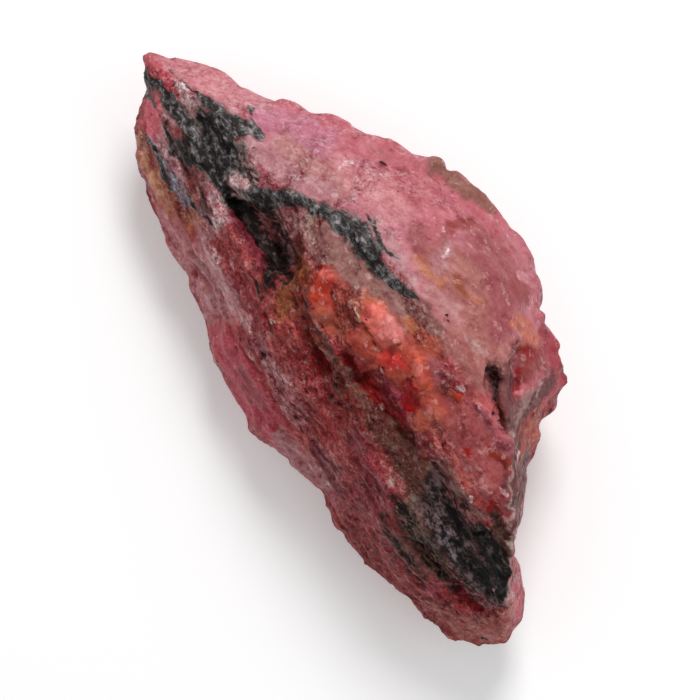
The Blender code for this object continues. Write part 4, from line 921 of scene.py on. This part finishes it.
@dataclass(frozen=True)
class RhodoniteFinish:
    """Broken rhodonite: sugary and fibrous, waxy to glassy, with sharp-edged veins."""

    dip: float = math.atan2(SPLIT_NORMAL.y, SPLIT_NORMAL.z)
    face_swing: float = math.radians(-25)
    roughness: float = 0.45
    facet_tilt: float = 0.5
    bump_depth: float = 0.4 * MM
    sheen: float = 0.18
    refraction: float = 1.5
    glow: float = 0.08
    glow_reach: float = 0.6 * MM
    glow_spread: tuple[float, float, float] = (1.0, 0.35, 0.3)  # shares of red, green and blue
    warmth: Colour = (0.95, 0.95, 0.7, 1.0)
    # string is the pale colour of fibre strings and also the painted highlight on the flakes' edges;
    # flake_shade is painted shade at their feet.
    string: Colour = (0.42, 0.175, 0.18, 1.0)
    flake_shade: Colour = (0.2, 0.07, 0.09, 1.0)
    pale_grain: Colour = (0.72, 0.46, 0.46, 1.0)
    grain_shade: Colour = (0.25, 0.12, 0.13, 1.0)
    halo: Colour = (0.12, 0.085, 0.075, 1.0)
    strands: Stops = ((0.36, (0.01,) * 3), (0.46, (0.09,) * 3), (0.56, (0.45,) * 3), (0.68, (1.0,) * 3))
    # milky ramps both the pale inclusions and the painted glints.
    milky: Stops = ((0.3, (0.45, 0.25, 0.26)), (0.55, (0.7, 0.45, 0.46)), (0.75, (0.95, 0.8, 0.78)))
    slaty: Stops = (
        (0.28, (0.003, 0.003, 0.003)), (0.4, (0.016, 0.0165, 0.017)), (0.52, (0.062, 0.065, 0.068)),
        (0.66, (0.13, 0.127, 0.127)), (0.85, (0.34, 0.29, 0.29)),
    )
    black_and_shadow_stops: Stops = ((0.48, (0.002, 0.0015, 0.0015)), (0.6, (0.013, 0.01, 0.009)), (0.8, (0.12, 0.08, 0.07)))

    def material(self) -> bpy.types.Material:
        """Builds the material.

        Returns:
            The stone's material.
        """
        bench = Bench("rhodonite")
        rock = Rock(bench, self.dip, self.face_swing)
        glint = bench.draw(rock.grains, "Red").above(0.86, 0.97)
        uneven = 0.3 * rock.sugar + 0.2 * rock.cloud - 0.22 * glint - 0.1 * rock.crystal
        bench.feed(bench.shader, {
            "Base Color": self.with_minerals(rock, self.broken_ground(rock)),
            "Roughness": self.roughness + uneven,
            "Normal": self.facets(rock),
            "Specular IOR Level": self.sheen,
            "Subsurface Weight": self.glow,
            "Subsurface Radius": self.glow_spread,
            "Subsurface Scale": self.glow_reach,
            "IOR": self.refraction,
        })
        return bench.material

    def broken_ground(self, rock: Rock) -> Socket:
        """Breaks the ground colour up into grains, fibres and flakes.

        Args:
            rock: the rock's patterns.

        Returns:
            The socket of the colour.
        """
        bench, sugar, mottle, crossing = rock.bench, rock.sugar, rock.mottle, rock.crossing
        luck = bench.draw(rock.grains, "Green")
        wave = 1.2 * sugar + 1.8 * mottle + 0.2 * (bench.draw(rock.grains, "Red") - 0.5)
        banded = crossing * (1.6 * rock.fibre + 1.6 * rock.cloud) + (1 - crossing) * 1.2 * rock.streak
        calm = 1 - 0.5 * rock.satin
        rough = 1 + wave * (0.42 + 1.15 * crossing * (1 - 0.65 * rock.satin)) + banded * calm
        glassy = 1 + 0.5 * (bench.draw(rock.gems, "Red") - 0.5) + 0.8 * mottle + 0.7 * sugar
        value = (rough + rock.crystal * (glassy - rough)).at_least(0.05)
        # Red varies least, so that dark grains are a deeper pink and not a grey.
        shades = {"Red": value**0.9, "Green": value**1.9, "Blue": value**1.8}
        shade = bench.node("ShaderNodeCombineColor", {}, shades).outputs["Color"]
        warm = (0.5 * rock.cloud + 0.5 * mottle).above(0.02, 0.16)
        string = (rock.fibre + 0.3 * sugar).above(0.07, 0.2) * crossing * (1 - rock.crystal)
        pale = (luck + 0.5 * sugar).above(0.93, 0.99)
        dark = (luck + 0.4 * sugar).above(0.06, 0.01) * (0.4 + 0.6 * crossing)
        colour = rock.ground
        for share, hue, kind in (
            (1.0, shade, "MULTIPLY"),
            (0.25 * warm, self.warmth, "MULTIPLY"),
            # Pale strings, with the flakes' edges as a painted highlight, then painted shade at the flakes'
            # feet.
            (0.25 * string + 0.3 * rock.edge, self.string, "MIX"),
            (0.85 * rock.foot, self.flake_shade, "MULTIPLY"),
            (0.3 * pale, self.pale_grain, "MIX"),
            (0.5 * dark, self.grain_shade, "MULTIPLY"),
        ):
            colour = bench.blend(share, colour, hue, kind)
        return colour

    def with_minerals(self, rock: Rock, colour: Socket) -> Socket:
        """Lays the dark and milky minerals over the ground, with ragged borders. The black mineral also
        paints shadow into the crevice, the pits and a crack behind the nose, and the milky one paints glints
        as highlights.

        Args:
            rock: the rock's patterns.
            colour: the broken ground.

        Returns:
            The socket of the colour.
        """
        bench, sugar, mottle, fibre, swirl = rock.bench, rock.sugar, rock.mottle, rock.fibre, rock.swirl
        rag = 1.1 * fibre + 0.9 * mottle + 0.7 * sugar
        strand = bench.ramp(0.52 + 1.4 * swirl + 0.7 * fibre + 0.4 * sugar + 1.1 * mottle, self.strands)
        streaky = (bench.number(Mineral.STREAKY.value) + 0.8 * rag).above(0.2, 0.7)
        colour = bench.blend(0.95 * streaky, colour, bench.blend(1.0, rock.ground, strand, "MULTIPLY"))
        halo = (bench.number(Mineral.DARK.value) + rag).above(0.25, 0.5)
        colour = bench.blend(0.5 * halo, colour, self.halo)
        # The speckle is raised on the flakes' edges and lowered at their feet: painted light and shade on the
        # minerals.
        speckle = 0.46 + 0.3 * sugar + 1.6 * mottle + 2.0 * swirl + 0.1 * (rock.edge - rock.foot)
        for mineral, width, strength, stops in (
            (Mineral.MILK, 0.1, 0.75, self.milky),
            (Mineral.DARK, 0.1, 0.94, self.slaty),
            (Mineral.SOOT, 0.14, 0.97, self.black_and_shadow_stops),
        ):
            cover = (bench.number(mineral.value) + rag).above(0.5 - width, 0.5 + width)
            colour = bench.blend(strength * cover, colour, bench.ramp(speckle, stops))
        return colour

    def facets(self, rock: Rock) -> Socket:
        """Tilts each grain its own way, over the bumps of the fibres and flakes.

        Args:
            rock: the rock's patterns.

        Returns:
            The socket of the normal.
        """
        bench, crossing, crystal = rock.bench, rock.crossing, rock.crystal
        grained = 0.5 * rock.fibre + 0.35 * rock.mottle + 0.2 * rock.sugar
        coarse = 0.525 + grained + 0.12 * Wire(bench, rock.grains.outputs["Distance"])
        height = coarse * (0.35 + 0.65 * crossing) * (1 - 0.4 * crystal) * (1 - 0.5 * rock.satin)
        height += 0.35 * rock.flake * rock.torn
        bumps = {"Strength": 1.0, "Distance": self.bump_depth, "Height": height}
        bump = bench.node("ShaderNodeBump", {}, bumps).outputs["Normal"]
        cells = bench.blend(crystal, rock.grains.outputs["Color"], rock.gems.outputs["Color"])
        leaning = bench.vector("SUBTRACT", {"Vector": cells, "Vector_001": (0.5, 0.5, 0.5)})
        lean = self.facet_tilt * (0.3 + 0.7 * crossing) * (1 - 0.3 * crystal)
        leaned = bench.vector("SCALE", {"Vector": leaning, "Scale": lean})
        facet = bench.vector("ADD", {"Vector": leaned, "Vector_001": bump})
        return bench.vector("NORMALIZE", {"Vector": facet})


@dataclass(frozen=True)
class FloorFinish:
    """Matt, nearly white paper, lit a little from below."""

    colour: Colour = (0.95, 0.95, 0.95, 1.0)
    roughness: float = 0.8
    glow: float = 0.2

    def material(self) -> bpy.types.Material:
        """Builds the material.

        Returns:
            The floor's material.
        """
        bench = Bench("pale_floor")
        bench.feed(bench.shader, {
            "Base Color": self.colour,
            "Roughness": self.roughness,
            "Emission Color": self.colour,
            "Emission Strength": self.glow,
        })
        return bench.material


@dataclass(frozen=True)
class Surface:
    """The points of the fine mesh, one row each, and what the strokes need to know of them."""

    points: np.ndarray  # in millimetres
    normals: np.ndarray
    plan: np.ndarray  # the points in the strokes' plan
    ragged: np.ndarray  # the same, strayed so that borders come out ragged
    upward: np.ndarray  # 1 on the upper side, 0 on undersides that no stroke reaches


@dataclass
class RoughStone:
    """The broken chunk of rhodonite. Lengths are in millimetres, and waves are per millimetre."""

    seed: int = 9
    voxel: float = 0.235
    smoothing: int = 6
    hidden_hues: tuple[Hue, ...] = (
        Hue.WINE, Hue.DEEP_ROSE, Hue.DEEP_ROSE, Hue.ROSE, Hue.MILK_PINK, Hue.DUSTY_TAN,
    )
    hidden_waves: tuple[float, float, float] = (0.08, 0.12, 0.35)
    hidden_mottle: float = 0.3
    hidden_swing: float = 0.55  # the noise at the last hue, and below 0 at the first
    vein_waves: tuple[float, float, float] = (0.07, 0.1, 0.28)
    vein_start: Vector = Vector((3.1, 7.7, 1.3))
    underside: tuple[float, float] = (-0.25, 0.1)  # upward share of the normal, from hidden to seen
    border_stray: float = 0.35
    border_waves: tuple[float, float] = (0.9, 2.3)
    patch_stray: float = 1.6  # times the stray of the sharper strokes
    wall_stray: float = 4.0
    wall_waves: float = 0.22
    wall_slope: tuple[float, float] = (0.5, 0.15)  # upward share of the normal, from slope to wall
    wall_height: tuple[float, float] = (11.0, 7.0)
    wall_fade: float = 0.75  # how much of the patches is left out low on the walls
    ledge_spacing: float = 1.3
    ledge_riser: float = 0.4
    ledge_rise: float = 0.22
    ledge_waves: tuple[float, float] = (0.22, 0.8)
    ledge_drift: tuple[float, float] = (2.6, 0.7)
    fibre_waves: tuple[float, float, float] = (0.45, 0.9, 1.7)
    fibre_rise: float = 0.16
    back_calm: float = 0.65  # how much of the ledges is left out where the stone faces back
    grain_rise: float = 0.22
    crystal_size: float = 1.25
    base_clear: float = 0.8

    def build(self) -> bpy.types.Object:
        """Makes the stone and dresses it.

        Returns:
            The finished piece.
        """
        noise.seed_set(self.seed)
        piece = self.copy_of_solid()
        self.refine(piece)
        surface = self.survey(piece)
        self.stain(piece, surface)
        self.carve(piece, surface)
        piece.data.materials.clear()
        piece.data.materials.append(RhodoniteFinish().material())
        operate(piece)
        bpy.ops.object.shade_smooth()
        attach(piece, BODY)
        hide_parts(NODE)
        return piece

    def copy_of_solid(self) -> bpy.types.Object:
        """Copies the solid's mesh to a new object and merges its loose triangles.

        Returns:
            The new object.
        """
        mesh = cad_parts[NODE].data.copy()
        piece = bpy.data.objects.new("rhodonite_stone", mesh)
        bpy.context.scene.collection.objects.link(piece)
        operate(piece)
        bpy.ops.object.mode_set(mode="EDIT")
        bpy.ops.mesh.select_all(action="SELECT")
        bpy.ops.mesh.remove_doubles(threshold=0.001 * MM)
        bpy.ops.object.mode_set(mode="OBJECT")
        return piece

    def refine(self, piece: bpy.types.Object) -> None:
        """Turns the solid's facets into an even, fine and slightly softened mesh."""
        finish_with(piece, "REMESH", mode="VOXEL", voxel_size=self.voxel * MM)
        finish_with(piece, "SMOOTH", factor=0.5, iterations=self.smoothing)

    def survey(self, piece: bpy.types.Object) -> Surface:
        """Reads the fine mesh's points.

        Args:
            piece: the stone.

        Returns:
            The points, as the strokes need them.
        """
        points = np.array([v.co for v in piece.data.vertices]) / MM
        normals = np.array([v.normal for v in piece.data.vertices])
        steep = 1 - np.clip(normals[:, 2], 0.0, 1.0)
        zero = np.array([*PLAN_ZERO, 0.0])
        ragged = points + self.strays(points, steep) - zero
        return Surface(points, normals, points - zero, ragged, smooth(*self.underside, normals[:, 2]))

    def strays(self, points: np.ndarray, steep: np.ndarray) -> np.ndarray:
        """Makes the borders of strokes ragged.

        Args:
            points: the mesh's points in millimetres.
            steep: 0 where a point faces up, 1 where it faces sideways or down.

        Returns:
            How far a border strays at each point, in millimetres: furthest where it is steep.
        """
        coarse, fine = self.border_waves
        strays = []
        for point, share in zip(points, steep.tolist()):
            place = Vector(point)
            stray = noise.noise_vector(place * coarse) + 0.5 * noise.noise_vector(place * fine)
            slide = self.wall_stray * share**3 * noise.noise_vector(place * self.wall_waves)
            strays.append(self.border_stray * stray + slide)
        return np.array(strays)

    def stain(self, piece: bpy.types.Object, surface: Surface) -> None:
        """Lays the ground colour and the minerals on the mesh as attributes, with the painted shadow and
        painted glints that some mineral strokes carry.

        Args:
            piece: the stone.
            surface: its points.
        """
        ragged, normals, upward = surface.ragged, surface.normals, surface.upward
        colours = self.hidden_ground(surface.points)
        torn = ragged + (self.patch_stray - 1) * (ragged - surface.plan)
        low_wall = smooth(*self.wall_slope, normals[:, 2]) * smooth(*self.wall_height, surface.points[:, 2])
        felt = upward * (1 - self.wall_fade * low_wall)
        for patch in GROUND.values():
            near = share_of_reach(torn, patch.path)
            share = (1 - smooth(1 - patch.edge, 1 + patch.edge, near)) * patch.cover * felt
            colours += (patch.hue.linear - colours) * share[:, None]
        layer = piece.data.color_attributes.new("ground", "FLOAT_COLOR", "POINT")
        layer.data.foreach_set("color", np.column_stack([colours, np.ones(len(colours))]).ravel())
        crossing = smooth(0.3, 0.9, 1 - np.abs(normals @ np.array(SPLIT_NORMAL)) ** 4)
        front = 1 - smooth(0.7, 1.1, share_of_reach(ragged, FRONT))
        self.lay(piece, CROSSING, np.maximum(crossing, front))
        veins = self.hidden_veins(surface.points)
        for mineral, strokes in STAINS.items():
            cover = (1 - share_of_nearest(ragged, strokes) / 2) * upward
            if mineral is Mineral.DARK:
                cover += veins * (1 - upward)
            self.lay(piece, mineral.value, cover)

    def lay(self, piece: bpy.types.Object, name: str, values: np.ndarray) -> None:
        """Lays a number for each point on the mesh, as an attribute."""
        layer = piece.data.attributes.new(name, "FLOAT", "POINT")
        layer.data.foreach_set("value", values.astype(np.float32))

    def hidden_ground(self, points: np.ndarray) -> np.ndarray:
        """The ground colour where no stroke reaches, drawn from the rock's layers.

        Args:
            points: the mesh's points in millimetres.

        Returns:
            Linear colours, one row for each point.
        """
        stops = np.linspace(-self.hidden_swing, self.hidden_swing, len(self.hidden_hues))
        level = []
        for place in map(Vector, points):
            layer = noise.noise(bedded(place, self.hidden_waves))
            level.append(0.8 * layer + 0.4 * noise.noise(place * self.hidden_mottle))
        table = np.array([hue.linear for hue in self.hidden_hues])
        return np.column_stack([np.interp(level, stops, table[:, i]) for i in range(3)])

    def hidden_veins(self, points: np.ndarray) -> np.ndarray:
        """Where dark veins run, at points that no stroke reaches.

        Args:
            points: the mesh's points in millimetres.

        Returns:
            The dark mineral's coverage at each point.
        """
        veins = []
        for place in map(Vector, points):
            sheet = noise.noise(bedded(place, self.vein_waves) + self.vein_start)
            veins.append(0.5 + 2.2 * (sheet - 0.3))
        return np.clip(veins, 0, 1)

    def carve(self, piece: bpy.types.Object, surface: Surface) -> None:
        """Raises and sinks the surface by the named carving, the ledges, the fibres and the grains.

        Args:
            piece: the stone.
            surface: its points.
        """
        relief = self.named_relief(surface) + self.fine_relief(surface)
        relief *= smooth(0.0, self.base_clear, surface.points[:, 2])
        for name, way in (("raised", 1), ("sunk", -1)):
            part = np.clip(way * relief, 0, None)
            most = max(float(part.max()), 1e-6)
            group = piece.vertex_groups.new(name=name)
            for i, share in enumerate(part / most):
                if share > 0.001:
                    group.add((i,), float(share), "REPLACE")
            strength = way * most * MM
            finish_with(
                piece, "DISPLACE", direction="NORMAL", mid_level=0.0, strength=strength, vertex_group=name
            )
        piece.vertex_groups.clear()

    def named_relief(self, surface: Surface) -> np.ndarray:
        """Measures the named carving and the swells of the rim.

        Args:
            surface: the stone's points.

        Returns:
            How far they move each point outwards, in millimetres.
        """
        relief = np.zeros(len(surface.points))
        wall = smooth(1.0, 3.0, surface.points[:, 2])
        for places, carvings, felt in ((surface.ragged, CARVING, surface.upward), (surface.plan, RIM, wall)):
            for rise, path in carvings.values():
                share = np.clip(share_of_reach(places, path), 0.0, 1.0)
                relief += rise * (1 - share**2) ** 2 * felt
        return relief

    def fine_relief(self, surface: Surface) -> np.ndarray:
        """Measures the ledges, the fibres and the crystal grains.

        Args:
            surface: the stone's points.

        Returns:
            How far they move each point outwards, in millimetres.
        """
        ragged, normals = surface.ragged, surface.normals
        crystals = 1 - smooth(0.7, 1.5, share_of_nearest(ragged, STAINS[Mineral.CRYSTAL]))
        crystals *= surface.upward
        calm = 1 - smooth(0.5, 1.1, share_of_nearest(ragged, STAINS[Mineral.SATIN]))
        crossing = 1 - np.abs(normals @ np.array(SPLIT_NORMAL)) ** 4
        back = smooth(0.1, 0.5, normals[:, 1])
        layered = crossing * (1 - crystals) * (1 - 0.75 * calm) * (1 - self.back_calm * back)
        grained = 1 - 0.5 * calm
        fine = []
        for point, layers, share, grains in zip(surface.points, layered, crystals, grained):
            place = Vector(point)
            fine.append(self.layering(place) * layers + self.crystals(place, share) * grains)
        return np.array(fine)

    def layering(self, place: Vector) -> float:
        """Makes ledges and fibres where the rock's thin layers crop out.

        Args:
            place: a point in millimetres.

        Returns:
            How far the point is moved outwards, in millimetres.
        """
        broad, small = self.ledge_waves
        far, near = self.ledge_drift
        along = Vector((place.x * 0.5, place.y, place.z))
        drift = far * noise.noise(place * broad) + near * noise.noise(along * small)
        layer = (place.dot(SPLIT_NORMAL) + drift) / self.ledge_spacing % 1.0
        riser = min(1.0, max(0.0, (layer - 0.5) / self.ledge_riser + 0.5))
        patchy = max(0.0, 0.75 + noise.noise(place * 0.35 + Vector((5, 1, 9))))
        fibre = noise.fractal(bedded(place, self.fibre_waves), 0.6, 2.1, 4)
        return self.ledge_rise * (riser - layer) * patchy + self.fibre_rise * fibre

    def crystals(self, place: Vector, share: float) -> float:
        """Makes crystal grains, domed and cut by tilted facets.

        Args:
            place: a point in millimetres.
            share: 1 in the coral lumps, where the grains stand proud, and 0 elsewhere.

        Returns:
            How far the point is moved outwards, in millimetres.
        """
        distances, centres = noise.voronoi(place / self.crystal_size)
        dome = 0.45 - min(distances[0], 1.0)
        tilt = noise.noise_vector(centres[0] * 5.7) * 1.6
        facet = tilt.dot(place / self.crystal_size - centres[0])
        return self.grain_rise * (dome * (0.35 + 0.9 * share) + facet * (0.15 + 0.8 * share))


@dataclass
class Studio:
    """Pale floor, soft light and the camera straight above the stone.

    The lamps' places run across the picture, up the picture and above the floor, in metres.
    """

    floor_size: float = 1.6
    aim: tuple[float, float, float] = (1.37, -2.99, 9.0)
    picture_across: Vector = Vector((0.5175, 0.8557, 0.0))
    picture_up: Vector = Vector((-0.8557, 0.5175, 0.0))
    pixel: float = 0.0875
    picture_width: int = 700
    lens: float = 350.0
    sensor: float = 36.0
    key_place: tuple[float, float, float] = (0.06, 0.34, 0.36)
    key_size: float = 0.16
    key_power: float = 1.5
    fill_place: tuple[float, float, float] = (0.4, -0.1, 0.35)
    fill_size: float = 0.4
    fill_power: float = 0.4
    sky: float = 0.42

    def build(self) -> None:
        """Makes the floor, the lights, the sky and the camera."""
        self.floor()
        self.camera()
        self.lamp("key", self.key_place, self.key_size, self.key_power)
        self.lamp("fill", self.fill_place, self.fill_size, self.fill_power)
        world = bpy.data.worlds.new("studio")
        world.use_nodes = True
        backdrop = world.node_tree.nodes["Background"]
        backdrop.inputs["Color"].default_value = (1.0, 1.0, 1.0, 1.0)
        backdrop.inputs["Strength"].default_value = self.sky
        bpy.context.scene.world = world
        bpy.context.scene.view_settings.view_transform = "Standard"

    def floor(self) -> None:
        """Lays the floor under the stone."""
        bpy.ops.object.select_all(action="DESELECT")
        bpy.ops.mesh.primitive_plane_add(size=self.floor_size)
        floor = bpy.context.active_object
        floor.name = "floor"
        floor.data.materials.append(FloorFinish().material())

    def lamp(self, name: str, place: tuple[float, float, float], size: float, power: float) -> None:
        """Hangs a soft square lamp that faces the stone.

        Args:
            name: the lamp's name.
            place: where it hangs, across and up the picture and above the floor.
            size: its side in metres.
            power: its power in watts.
        """
        across, up, above = place
        spot = self.picture_across * across + self.picture_up * up + Vector((0, 0, above))
        light = bpy.data.lights.new(name, "AREA")
        light.size = size
        light.energy = power
        lamp = bpy.data.objects.new(name, light)
        lamp.location = spot
        lamp.rotation_euler = (-spot).to_track_quat("-Z", "Y").to_euler()
        bpy.context.scene.collection.objects.link(lamp)

    def camera(self) -> None:
        """Hangs the camera straight above the stone, turned so that the tip is at the upper left."""
        data = bpy.data.cameras.new("camera")
        data.lens = self.lens
        data.sensor_width = self.sensor
        camera = bpy.data.objects.new("camera", data)
        aim = Vector((self.aim[0] + PLAN_ZERO[0], self.aim[1] + PLAN_ZERO[1], self.aim[2])) * MM
        away = self.picture_width * self.pixel * MM * self.lens / self.sensor
        turn = Matrix((self.picture_across, self.picture_up, Vector((0, 0, 1)))).transposed()
        camera.matrix_world = Matrix.Translation(aim + Vector((0, 0, away))) @ turn.to_4x4()
        bpy.context.scene.collection.objects.link(camera)
        bpy.context.scene.camera = camera


def main() -> None:
    """Builds the stone and the studio."""
    logging.basicConfig(level=logging.INFO)
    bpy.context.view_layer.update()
    Studio().build()
    log.info("studio built")
    stone = RoughStone().build()
    log.info("%s: %d triangles", stone.name, sum(len(p.vertices) - 2 for p in stone.data.polygons))


if __name__ == "__main__":
    main()
